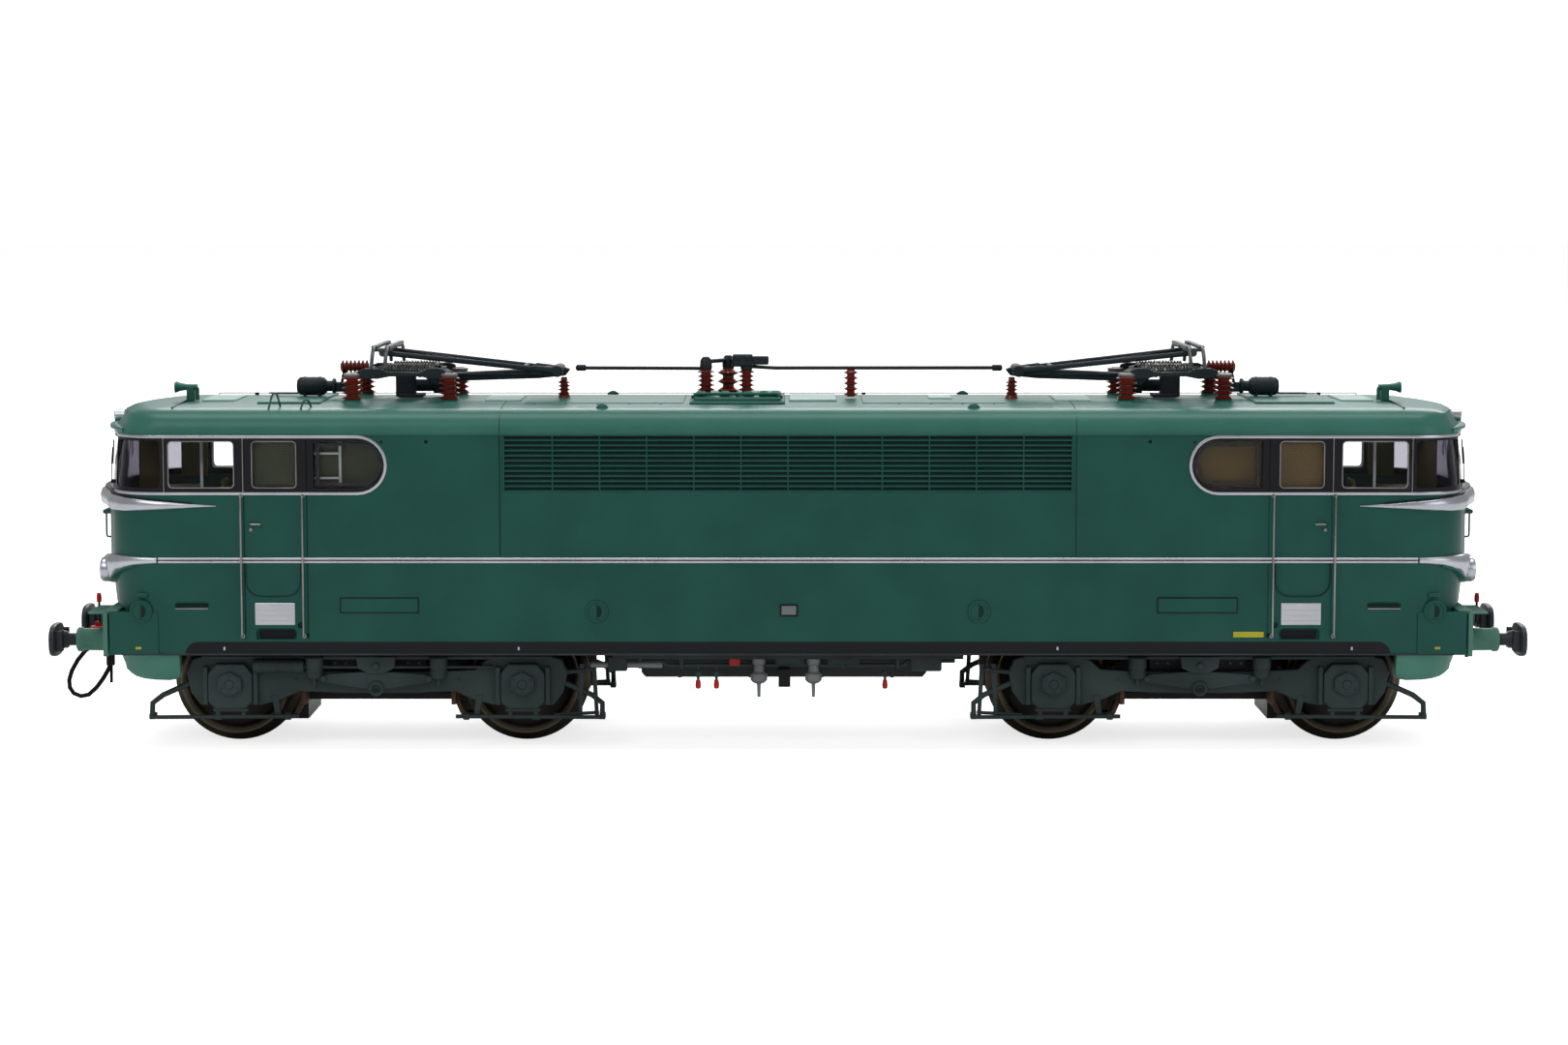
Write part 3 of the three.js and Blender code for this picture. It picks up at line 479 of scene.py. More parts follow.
def finish(name, light, dark, roughness, metallic=0.0, bump=0.1, grain=9000.0, coat=0.0, spread=0.12):
    """A painted, moulded or metal finish whose tone drifts between two colours."""
    material = bpy.data.materials.new(name)
    material.use_nodes = True
    nodes, links = material.node_tree.nodes, material.node_tree.links
    shader = nodes["Principled BSDF"]
    texture = nodes.new("ShaderNodeGroup")
    texture.node_tree = GRAIN
    texture.inputs["Grain Scale"].default_value = grain
    texture.inputs["Bump Strength"].default_value = bump
    texture.inputs["Roughness"].default_value = roughness
    texture.inputs["Roughness Spread"].default_value = spread
    ramp = nodes.new("ShaderNodeValToRGB")
    ramp.color_ramp.elements[0].position = 0.35
    ramp.color_ramp.elements[0].color = (*dark, 1)
    ramp.color_ramp.elements[1].position = 0.7
    ramp.color_ramp.elements[1].color = (*light, 1)
    links.new(texture.outputs["Tone"], ramp.inputs["Fac"])
    links.new(ramp.outputs["Color"], shader.inputs["Base Color"])
    links.new(texture.outputs["Roughness"], shader.inputs["Roughness"])
    links.new(texture.outputs["Normal"], shader.inputs["Normal"])
    shader.inputs["Metallic"].default_value = metallic
    shader.inputs["Coat Weight"].default_value = coat
    shader.inputs["Coat Roughness"].default_value = 0.15
    shader.inputs["Specular IOR Level"].default_value = 0.18
    return material


def srgb(red, green, blue):
    """Linear colour from display values of 0 to 255."""
    return tuple((value / 255 / 12.92) if value <= 10 else ((value / 255 + 0.055) / 1.055) ** 2.4
                 for value in (red, green, blue))


def math_node(nodes, links, operation, first, second=None):
    node = nodes.new("ShaderNodeMath")
    node.operation = operation
    for slot, value in enumerate((first, second)):
        if value is None:
            continue
        if isinstance(value, (int, float)):
            node.inputs[slot].default_value = value
        else:
            links.new(value, node.inputs[slot])
    return node.outputs[0]


def body_paint():
    """Blue-green body paint with the black window band and sole band masked on it."""
    material = finish("body_paint", srgb(31, 88, 78), srgb(25, 80, 71), 0.42, bump=0.08, coat=0.06)
    nodes, links = material.node_tree.nodes, material.node_tree.links
    shader = nodes["Principled BSDF"]
    green = shader.inputs["Base Color"].links[0].from_socket
    place = nodes.new("ShaderNodeTexCoord")
    split = nodes.new("ShaderNodeSeparateXYZ")
    links.new(place.outputs["Object"], split.inputs[0])

    def step(operation, first, second=None):
        return math_node(nodes, links, operation, first, second)

    along = step("ABSOLUTE", split.outputs["X"])
    height = split.outputs["Z"]
    short = step("MAXIMUM", step("SUBTRACT", BAND_END_X * MM, along), 0.0)
    rise = step("SUBTRACT", height, BAND_Z * MM)
    reach = step("SQRT", step("ADD", step("MULTIPLY", short, short), step("MULTIPLY", rise, rise)))
    window_band = step("LESS_THAN", reach, BAND_RADIUS * MM)
    end, top, radius = 75.2, 13.8, 1.7
    over_x = step("MAXIMUM", step("SUBTRACT", along, (end - radius) * MM), 0.0)
    over_z = step("MAXIMUM", step("SUBTRACT", height, (top - radius) * MM), 0.0)
    sole_reach = step("SQRT", step("ADD", step("MULTIPLY", over_x, over_x), step("MULTIPLY", over_z, over_z)))
    sole_band = step("LESS_THAN", sole_reach, radius * MM)
    black = step("MAXIMUM", window_band, sole_band)
    mix = nodes.new("ShaderNodeMix")
    mix.data_type = "RGBA"
    links.new(black, mix.inputs["Factor"])
    links.new(green, mix.inputs["A"])
    mix.inputs["B"].default_value = (*srgb(24, 24, 30), 1)
    links.new(mix.outputs["Result"], shader.inputs["Base Color"])
    return material


def clear_plastic(name, tint, roughness=0.04):
    material = bpy.data.materials.new(name)
    material.use_nodes = True
    nodes, links = material.node_tree.nodes, material.node_tree.links
    shader = nodes["Principled BSDF"]
    texture = nodes.new("ShaderNodeGroup")
    texture.node_tree = GRAIN
    texture.inputs["Roughness"].default_value = roughness
    texture.inputs["Roughness Spread"].default_value = 0.03
    links.new(texture.outputs["Roughness"], shader.inputs["Roughness"])
    shader.inputs["Base Color"].default_value = (*tint, 1)
    shader.inputs["Transmission Weight"].default_value = 1.0
    shader.inputs["IOR"].default_value = 1.15
    return material


BODY = body_paint()
ROOF_GREEN = finish("roof_paint", srgb(60, 116, 104), srgb(54, 107, 95), 0.36, bump=0.08, coat=0.1)
FOOTPLATE_GREEN = finish("footplate_green", srgb(96, 140, 128), srgb(84, 128, 116), 0.45)
# Dark green painted shade for grooves, recess backs and a hole, and also the colour of dark joint lines.
JOINT_AND_SHADE = finish("seam_shadow", srgb(20, 46, 41), srgb(16, 40, 36), 0.5)
PLATE_GREEN = finish("plate_green", srgb(33, 90, 80), srgb(28, 83, 73), 0.4)
DEEP_GREEN = finish("fitting_paint", srgb(46, 104, 90), srgb(38, 92, 80), 0.4, bump=0.1)
SILVER = finish("silver_paint", srgb(214, 216, 222), srgb(188, 192, 200), 0.28, metallic=0.85, bump=0.12)
STEEL = finish("bright_steel", srgb(176, 174, 172), srgb(136, 134, 132), 0.28, metallic=1.0, bump=0.1)
SLATE = finish("slate_plastic", srgb(56, 68, 68), srgb(42, 52, 52), 0.5, bump=0.22, coat=0.05)
PANTO = finish("pantograph_paint", srgb(46, 54, 58), srgb(34, 41, 45), 0.42, metallic=0.25, bump=0.15)
BLACK = finish("black_plastic", srgb(28, 28, 33), srgb(20, 20, 24), 0.45, bump=0.15)
RUBBER = finish("hose_rubber", srgb(22, 22, 23), srgb(14, 14, 15), 0.6, bump=0.3)
RED = finish("signal_red", srgb(196, 36, 26), srgb(170, 24, 18), 0.4, bump=0.15, coat=0.2)
YELLOW = finish("marking_yellow", srgb(196, 190, 60), srgb(170, 165, 50), 0.5)
INSULATOR = finish("insulator_brown", srgb(132, 44, 30), srgb(108, 32, 24), 0.28, bump=0.08, coat=0.4)
WHEEL = finish("blackened_wheel", srgb(56, 53, 48), srgb(42, 40, 37), 0.38, metallic=0.7, bump=0.2)
TREAD = finish("worn_tread", srgb(84, 78, 68), srgb(58, 53, 46), 0.3, metallic=0.9, bump=0.2, spread=0.25)
OLIVE = finish("cab_olive", srgb(112, 106, 62), srgb(90, 85, 48), 0.6, bump=0.2)
BLIND_OLIVE = finish("olive_blind", srgb(44, 46, 31), srgb(36, 38, 26), 0.5, bump=0.1)
BLIND_BROWN = finish("brown_blind", srgb(78, 61, 33), srgb(66, 51, 27), 0.5, bump=0.1)
CAST = finish("zinc_casting", srgb(120, 121, 124), srgb(92, 93, 96), 0.5, metallic=0.8, bump=0.35, grain=5000)
BRASS = finish("turned_brass", srgb(196, 160, 92), srgb(170, 134, 72), 0.28, metallic=1.0, bump=0.1)
ACETAL = finish("black_acetal", srgb(30, 30, 32), srgb(20, 20, 22), 0.35, bump=0.1)
BOARD = finish("circuit_board", srgb(34, 92, 52), srgb(24, 72, 40), 0.35, coat=0.4)
GLASS = clear_plastic("window_clear", (0.93, 0.95, 0.95))
SMOKED = clear_plastic("windscreen_tint", (0.30, 0.29, 0.33), 0.06)
LENS = clear_plastic("lamp_lens", (0.95, 0.95, 0.9), 0.1)
CHASSIS_GREEN = finish("beam_green", srgb(88, 134, 118), srgb(76, 122, 107), 0.42, bump=0.12)
VALANCE_GREEN = finish("valance_green", srgb(84, 140, 124), srgb(74, 128, 112), 0.45, bump=0.1)
BUFFER_BLACK = finish("buffer_black", srgb(62, 66, 70), srgb(48, 52, 56), 0.4, metallic=0.3, bump=0.15)
SHOE = finish("brake_shoe_brown", srgb(96, 74, 58), srgb(66, 52, 42), 0.55, bump=0.4)
RIM = finish("rim_line_brass", srgb(108, 98, 76), srgb(84, 75, 58), 0.35, metallic=0.8)
TANK = finish("tank_grey", srgb(56, 62, 62), srgb(44, 49, 49), 0.5, bump=0.2)
VALVE_GREY = finish("valve_grey", srgb(140, 144, 144), srgb(116, 120, 120), 0.4, metallic=0.2, bump=0.15)
HEAD_GREY = finish("strip_grey", srgb(92, 97, 100), srgb(70, 75, 78), 0.35, metallic=0.5, bump=0.2)
DARK_CAST = finish("dark_casting", srgb(52, 53, 55), srgb(38, 39, 41), 0.5, metallic=0.6, bump=0.35, grain=5000)


# ---------------------------------------------------------------- body shell


def round_end(x, z0, z1, out=1, steps=10):
    """Half circle closing a band between two heights, bulging towards the middle of the body."""
    radius = (z1 - z0) / 2
    middle = (z1 + z0) / 2
    angles = [math.pi / 2 + math.pi * i / steps for i in range(steps + 1)]
    return [(x + radius + radius * math.cos(a) * out, middle + radius * math.sin(a)) for a in angles]


REAR_WINDOW = [(58.95, WINDOW_LOW), (58.95, WINDOW_HIGH)] + round_end(50.15, WINDOW_LOW, WINDOW_HIGH)
DOOR_WINDOW = (61.0, 66.6)
SLIDING_WINDOW = (68.75, 77.0)
CORNER_WINDOW = (78.0, 84.1)
WINDSCREEN = (0.6, 11.2)
LOUVRES = (-35.5, 35.5, 32.5, 39.5)
LOUVRE_DEPTH = 0.55
SLATS = 11


def opening(x0, x1, z0, z1, radius=0.5, depth=(-20, 20)):
    """Cutter for a window with small corner radii, right across the body."""
    outline = []
    corners = (((x1, z0), -90), ((x1, z1), 0), ((x0, z1), 90), ((x0, z0), 180))
    for (x, z), start in corners:
        centre = (x - math.copysign(radius, x - (x0 + x1) / 2), z - math.copysign(radius, z - (z0 + z1) / 2))
        for turn in (0, 30, 60, 90):
            angle = math.radians(start + turn)
            outline.append((centre[0] + radius * math.cos(angle), centre[1] + radius * math.sin(angle)))
    return traced("opening", outline, depth, edge=0)


def window_cutters():
    rear = traced("opening", REAR_WINDOW, (-20, 20), edge=0)
    corner = opening(*CORNER_WINDOW, WINDOW_LOW, WINDOW_HIGH, depth=(-20, -12))
    corner = joined("opening", corner, mirrored(corner, "opening", y=-1))
    side = joined("opening", rear, opening(*DOOR_WINDOW, WINDOW_LOW, WINDOW_HIGH),
                  opening(*SLIDING_WINDOW, WINDOW_LOW, WINDOW_HIGH), corner)
    screen = block("opening", (80, 92), WINDSCREEN, (WINDOW_LOW, WINDOW_HIGH), 0.6, 3)
    screens = joined("opening", screen, mirrored(screen, "opening", y=-1))
    end = joined("opening", side, screens)
    return joined("opening", end, mirrored(end, "opening", x=-1))


def side_cutters():
    """Louvre recess, panel gaps, door seams, step recess and small holes of both flanks."""
    face = (-HALF_WIDTH - 1, -HALF_WIDTH)
    seam = 0.22
    recess = block("cutter", LOUVRES[:2], (face[0], face[1] + LOUVRE_DEPTH), LOUVRES[2:], 0)
    parts = []
    for x, z0, z1, width in ((35.8, 24.6, 40.5, 0.16), (67.6, 14.2, 40.5, 0.13), (59.78, 14.2, 40.5, 0.13)):
        parts.append(block("cutter", (x - width / 2, x + width / 2), (face[0], face[1] + seam), (z0, z1), 0))
    step = block("cutter", (61.2, 66.3), (face[0], face[1] + 0.82), (13.85, 15.5), 0.6, 3)
    foot = block("cutter", (72.1, 76.4), (face[0], face[1] + 0.5), (17.95, 18.75), 0.35, 2)
    holes = [disc("cutter", radius, "y", (face[0], face[1] + 0.6), (x, 0, z), 12, 0)
             for x, z, radius in ((50.4, 38.8, 0.22), (44.9, 38.8, 0.22), (60.7, 15.9, 0.42),
                                  (59.9, 14.6, 0.28))]
    end = joined("cutter", parts, step, foot, holes)
    near = joined("cutter", end, mirrored(end, "cutter", x=-1), recess)
    return joined("cutter", near, mirrored(near, "cutter", y=-1))


def body_shell():
    heights = (BODY_BOTTOM, 14, LEDGE_Z, 21, 24, 27.5, 31, 33, 36, BODY_TOP)
    shell = shaped_tube("body_sides", [plan_ring(z) for z in heights], 30)
    inside = shaped_tube("cutter", [plan_ring(z, -WALL) for z in (BODY_BOTTOM - 1, 24, 33, BODY_TOP + 1)])
    cut(shell, inside)
    nose = block("cutter", (83.2, 95), (-20, 20), (BODY_BOTTOM - 1, LEDGE_Z), 0)
    cut(shell, nose, mirrored(nose, "cutter", x=-1))
    cut(shell, window_cutters())
    cut(shell, side_cutters())
    smoothed(shell, 30)
    return dress(shell, BODY, replaces=["body_shell"])


def louvre_panels():
    """Overlapping sloped slats with upright ribs, in the recess of each flank."""
    x0, x1, z0, z1 = LOUVRES
    back = -HALF_WIDTH + LOUVRE_DEPTH - 0.06
    pitch = (z1 - z0) / SLATS
    slat = traced("slat", [(back, 0.02), (-HALF_WIDTH + 0.04, 0.02), (-HALF_WIDTH + 0.04, 0.2),
                           (back, pitch * 0.62)],
                  (x0 + 0.02, x1 - 0.02), plane="yz", edge=0)
    slats = [shifted(slat, "slat", z=z0 + i * pitch) for i in range(SLATS)]
    bpy.data.objects.remove(slat)
    ribs = [block("rib", (x - 0.1, x + 0.1), (-HALF_WIDTH + 0.12, back), (z0, z1), 0.03, 1)
            for x in [i * 5.85 for i in range(-5, 6)]]
    frame_bars = [block("rib", (x0 + 0.02, x0 + 0.3), (-HALF_WIDTH - 0.02, back), (z0, z1), 0.04, 1),
                  block("rib", (x1 - 0.3, x1 - 0.02), (-HALF_WIDTH - 0.02, back), (z0, z1), 0.04, 1)]
    panels = both_flanks("louvre_panels", slats, ribs, frame_bars)
    # The black lining behind the slats is painted shade, the dark between and behind them.
    lining = block("lining", (x0 + 0.02, x1 - 0.02), (back - 0.02, back + 0.12), (z0 + 0.02, z1), 0)
    dress(both_flanks("louvre_lining", lining), BLACK)
    return dress(panels, BODY)


def ribbon(name, path, half, proud):
    """A flat bead on the body along a run of (s, z) places."""
    rings = []
    for i, (s, z) in enumerate(path):
        s0, z0 = path[max(i - 1, 0)]
        s1, z1 = path[min(i + 1, len(path) - 1)]
        length = math.hypot(s1 - s0, z1 - z0)
        across_s, across_z = -(z1 - z0) / length * half, (s1 - s0) / length * half
        section = [(-1, -0.2), (-1, proud * 0.7), (-0.6, proud), (0.6, proud), (1, proud * 0.7), (1, -0.2)]
        rings.append([on_body(s + across_s * k, z + across_z * k, out) for k, out in section])
    return shaped_tube(name, rings, 50)


def along(s0, s1, z, steps):
    return [(s0 + (s1 - s0) * i / steps, z) for i in range(steps + 1)]


def window_band_line():
    """Silver line round the black window band of one cab, from nose middle to nose middle."""
    radius = (TRIM_HIGH - TRIM_LOW) / 2
    start = 49.95 + radius
    high, low = nose_s(TRIM_HIGH), nose_s(TRIM_LOW)
    path = [(s, TRIM_HIGH) for s, _ in along(high, start + 0.5, 0, 26)]
    path += round_end(49.95, TRIM_LOW, TRIM_HIGH, steps=14)
    path += [(s, TRIM_LOW) for s, _ in along(start + 0.5, low, 0, 26)]
    line = all_quarters("window_band_line", ribbon("line", path, 0.17, 0.12))
    return dress(line, SILVER)


def nose_trims():
    """Upper streak and lower swelling trim of both noses."""
    end = nose_s(30)
    streak = [(71.05, 30.75, 30.85, 0.12), (74, 30.6, 31.05, 0.3), (77, 30.42, 31.35, 0.4),
              (80, 30.25, 31.62, 0.45)]
    streak += [(83, 30.12, 31.9, 0.55), (86, 30.05, 32.1, 0.7), (89, 30, 32.25, 0.9), (93, 30, 32.3, 1.15)]
    streak += [(96, 30, 32.3, 1.27), (end, 30, 32.3, 1.3)]
    upper = all_quarters("upper_nose_trim", swept("trim", streak))
    dress(upper, SILVER)
    shadow = [(s, high - 0.06, high + 0.14, proud * 0.75) for s, _, high, proud in streak[1:]]
    dress(all_quarters("upper_trim_shadow", swept("shadow", shadow, False)), BLACK)
    end = nose_s(23)
    swell = [(78.55, 23.65, 24.35, 0.25), (80, 23.55, 24.38, 0.35), (81.5, 23.35, 24.4, 0.45),
             (83, 22.95, 24.42, 0.6)]
    swell += [(84.5, 22.35, 24.42, 0.8), (86, 21.6, 24.38, 0.95), (87.5, 21.0, 24.3, 1.1),
              (89.5, 20.6, 24.1, 1.2)]
    swell += [(92, 20.5, 23.8, 1.25), (95.5, 20.6, 23.3, 1.25), (end, 20.75, 23.1, 1.25)]
    lower = all_quarters("lower_nose_trim", swept("trim", swell))
    dress(lower, SILVER, replaces=["nose_trim_a", "nose_trim_b"])
    seat = [(s, low - 0.22, low + 0.2, proud * 0.8) for s, low, _, proud in swell[2:]]
    dress(all_quarters("lower_trim_seat", swept("seat", seat, False)), DEEP_GREEN)


def belts():
    """Silver belt along each flank with its darker middle line."""
    y = -HALF_WIDTH
    bands = [block("belt", (-78.4, 78.4), (y - 0.16, y + 0.3), span, 0.05, 1) for span in ((23.66, 23.93),
                                                                                           (24.07, 24.34))]
    dress(both_flanks("belts", bands), SILVER)
    middle = block("middle", (-78.38, 78.38), (y - 0.1, y + 0.3), (23.9, 24.1), 0)
    dress(both_flanks("belt_middle_lines", middle), BLIND_BROWN)


def sole_edges():
    """Pale edge line under the body sides."""
    edge = block("edge", (-83.1, 83.1), (-HALF_WIDTH - 0.04, -HALF_WIDTH + 0.5),
                 (BODY_BOTTOM - 0.02, BODY_BOTTOM + 0.2), 0.03, 1)
    dress(both_flanks("sole_edges", edge), SLATE)


def glazing_strip(name, spans, finish_of, replaces=()):
    """Window panes, moulded as strips just inside the body's surface."""
    panes = []
    for s0, s1 in spans:
        steps = max(1, int((s1 - s0) / 1.2))
        rings = []
        for i in range(steps + 1):
            s = s0 + (s1 - s0) * i / steps
            section = [(32.8, -0.55), (32.8, -0.12), (36, -0.12), (39.1, -0.12), (39.1, -0.55), (36, -0.55)]
            rings.append([on_body(s, z, out) for z, out in section])
        panes.append(shaped_tube("pane", rings, 50))
    piece = all_quarters(name, panes)
    return dress(piece, finish_of, replaces=replaces)


def windows():
    end = nose_s(36)
    glazing_strip("side_glazing", ((49.9, 59.3), (60.7, 66.9), (68.45, 77.3)), GLASS,
                  ("cab_glazing_a", "cab_glazing_b"))
    glazing_strip("front_glazing", ((77.7, end - 0.45),), SMOKED)


def window_frame(x0, x1, z0, z1, radius=0.55, width=0.11, y=-HALF_WIDTH):
    """Thin bright frame round a window, standing just off the body."""
    rings = []
    corners = (((x1, z0), -90), ((x1, z1), 0), ((x0, z1), 90), ((x0, z0), 180))
    for (x, z), start in corners:
        centre = (x - math.copysign(radius, x - (x0 + x1) / 2), z - math.copysign(radius, z - (z0 + z1) / 2))
        for turn in (0, 30, 60, 90):
            angle = math.radians(start + turn)
            spoke = (math.cos(angle), math.sin(angle))
            section = [(radius - width, y + 0.3), (radius - width, y - 0.07), (radius, y - 0.07),
                       (radius, y + 0.3)]
            rings.append([(centre[0] + spoke[0] * r, at, centre[1] + spoke[1] * r) for r, at in section])
    return ring_loft("frame", rings, 50)


def window_frames():
    low, high = WINDOW_LOW, WINDOW_HIGH
    frames = [window_frame(*SLIDING_WINDOW, low, high), window_frame(*DOOR_WINDOW, low, high)]
    bar = block("bar", (72.62, 72.98), (-16.85, -16.3), (low - 0.1, high + 0.1), 0.05)
    seams = [block("seam", (x - 0.05, x + 0.05), (-HALF_WIDTH - 0.04, -16.5),
                   (TRIM_LOW + 0.1, TRIM_HIGH - 0.1), 0)
             for x in (67.68, 77.5)]
    dress(all_quarters("window_frames", frames, seams), STEEL)
    dress(all_quarters("sliding_window_bars", bar), CAST)
    rear = [(58.3, 33.6), (58.3, 38.3)] + round_end(50.8, 33.6, 38.3)
    rings = []
    for x, z in rear:
        inward = Vector((54.6 - x, 0, 35.95 - z)).normalized() * 0.4
        outer = Vector((x, 0, z)) - inward
        inner = Vector((x, 0, z)) + inward * 0.2
        rings.append([(outer.x, -16.4, outer.z), (outer.x, -16.2, outer.z), (inner.x, -16.2, inner.z),
                      (inner.x, -16.4, inner.z)])
    gasket = ring_loft("gasket", rings, 50)
    dress(all_quarters("rear_window_gaskets", gasket), BLACK)


def door_furniture():
    """Grab rails, handles, kick plates and step lips of the cab doors."""
    y = -HALF_WIDTH
    rails = []
    for x in (67.95, 60.3):
        run = [(x, y + 0.3, 14.5), (x, y - 0.62, 14.5), (x, y - 0.62, 32.1), (x, y + 0.3, 32.1)]
        rails.append(pipe("rail", bent(run, 0.35), 0.13))
        rails += [disc("foot", 0.3, "y", (y - 0.12, y + 0.2), (x, 0, z), 10) for z in (14.5, 32.1)]
    dress(all_quarters("door_grab_rails", rails), STEEL)
    plate = block("plate", (61.4, 66.4), (y - 0.12, y + 0.3), (15.9, 18.7), 0.1)
    grooves = [block("cutter", (61.7, 66.1), (y - 0.5, y - 0.06), (z, z + 0.14), 0) for z in (16.45, 17.1,
                                                                                              17.75)]
    cut(plate, grooves)
    lip = block("lip", (61.25, 66.25), (y - 0.02, y + 0.8), (13.85, 14.08), 0.05)
    dress(all_quarters("door_kick_plates", plate), SILVER)
    dress(all_quarters("door_step_lips", lip), BODY)
    handle = [pipe("handle", bent([(66.8, y + 0.1, 28.55), (66.8, y - 0.45, 28.55), (65.5, y - 0.45, 28.55)],
                                  0.2), 0.14),
              disc("lock", 0.22, "y", (y - 0.1, y + 0.2), (66.8, 0, 27.8), 10)]
    dress(all_quarters("door_handles", handle), STEEL)
    # The step and foot recess backs are painted shade: dark sheets at the back of the recesses, where shade
    # falls.
    back = block("back", (61.3, 66.2), (y + 0.7, y + 1.3), (13.9, 15.45), 0)
    foot = block("back", (72.2, 76.3), (y + 0.42, y + 1.2), (17.98, 18.7), 0)
    dress(all_quarters("step_recess_backs", back), BLACK)
    dress(all_quarters("foot_recess_backs", foot), JOINT_AND_SHADE)
    rung = pipe("rung", [(72.2, y - 0.02, 17.95), (76.3, y - 0.02, 17.95)], 0.12, 6)
    dress(all_quarters("foot_rungs", rung), STEEL)


def raised_contours():
    """Lower door contour lines, thin raised strips painted dark as the shade of a groove, and the shallow bumps
    over the end covers.
    """
    y = -HALF_WIDTH
    radius, left, right, low = 1.8, 60.65, 67.45, 19.5
    run = [(left, y, 23.6), (left, y, low + radius)]
    run += [(left + radius - radius * math.cos(a), y, low + radius - radius * math.sin(a))
            for a in [math.pi / 8 * i for i in range(1, 4)]]
    run += [(left + radius, y, low), (right - radius, y, low)]
    run += [(right - radius + radius * math.sin(a), y, low + radius - radius * math.cos(a))
            for a in [math.pi / 8 * i for i in range(1, 4)]]
    run += [(right, y, low + radius), (right, y, 23.6)]
    contour = pipe("contour", run, 0.09, 6)
    bump = block("bump", (79.7, 81.2), (y - 0.05, y + 0.5), (19.3, 19.9), 0.25, 3)
    dress(all_quarters("cover_bumps", bump), BODY)
    # Painted shade: the door contours stand for the dark inside a groove.
    dress(all_quarters("door_contours", contour), JOINT_AND_SHADE)


def side_cover(x):
    """Round cover with a raised ring, a D-shaped dark mark painted as the shade of a hole, and an upright dark
    joint line beside it.
    """
    y = -HALF_WIDTH
    centre = (x, 0, 17.6)
    plate = turned("cover", [(0, y - 0.04), (1.1, y - 0.04), (1.14, y - 0.16), (1.36, y - 0.16),
                             (1.42, y - 0.06),
                             (1.42, y + 0.3), (0, y + 0.3)], "y", centre, 32)
    angles = [math.radians(a) for a in range(-90, 91, 18)]
    hole = [(x + 0.62 * math.cos(a), 17.6 + 0.8 * math.sin(a)) for a in angles]
    # The D-shaped mark is painted shade standing for a hole.
    mark = traced("mark", hole, (y - 0.05, y + 0.1), edge=0)
    joint = block("joint", (x - 0.05, x + 0.02), (y - 0.055, y), (16.55, 18.65), 0)
    return plate, mark, joint


def covers_and_plates():
    y = -HALF_WIDTH
    covers = [side_cover(x) for x in (-80.6, -23.8, 23.8, 80.6)]
    half_turn = Matrix.Diagonal((-1, -1, 1, 1))
    plates = joined("round_side_covers", [plate for plate, _, _ in covers])
    dress(joined("round_side_covers", plates, placed(plates, "cover", half_turn)), BODY)
    # These marks are partly painted shade (the D-shaped hole) and partly a dark joint line.
    marks = joined("side_cover_marks", [part for _, *parts in covers for part in parts])
    dress(joined("side_cover_marks", marks, placed(marks, "mark", half_turn)), JOINT_AND_SHADE)

    def plate_frame(x0, x1, z0, z1):
        plate = block("plate", (x0, x1), (y - 0.07, y + 0.2), (z0, z1), 0)
        return cut(plate, block("cutter", (x0 + 0.13, x1 - 0.13), (y - 1, y + 1), (z0 + 0.13, z1 - 0.13), 0))

    def blank(x0, x1, z0, z1):
        return block("blank", (x0 + 0.1, x1 - 0.1), (y - 0.05, y + 0.1), (z0 + 0.1, z1 - 0.1), 0)

    places = ((-55.8, -46, 17.4, 19.35), (46, 56, 17.4, 19.35))
    dress(both_flanks("side_plate_frames", [plate_frame(*place) for place in places],
                      plate_frame(-1, 1.2, 17, 18.5)),
          BLACK)
    dress(both_flanks("blank_side_plates", [blank(*place) for place in places]), PLATE_GREEN)
    dress(both_flanks("blank_works_plates", blank(-0.9, 1.1, 17.1, 18.4)), VALVE_GREY)
    marks = [block("mark", (x - 0.35, x + 0.35), (y - 0.03, y + 0.1), (12.85, 13.15), 0) for x in (-81, 81)]
    marks.append(block("mark", (55.5, 59.3), (y - 0.05, y + 0.1), (14.35, 15.05), 0.03))
    dress(both_flanks("yellow_marks", marks), YELLOW)
    dots = [block("mark", (x, x + 0.22), (y - 0.03, y + 0.1), (12.75, 13.15), 0) for x in (-70.4, -33.7, 33.5,
                                                                                           70.2)]
    dress(both_flanks("white_marks", dots), SILVER)


def on_nose(y, z, out=0.0):
    """Point on the nose of end b at a distance across it."""
    x, _, _ = on_body(nose_s(z) - abs(y), z, out)
    return (x, y, z)


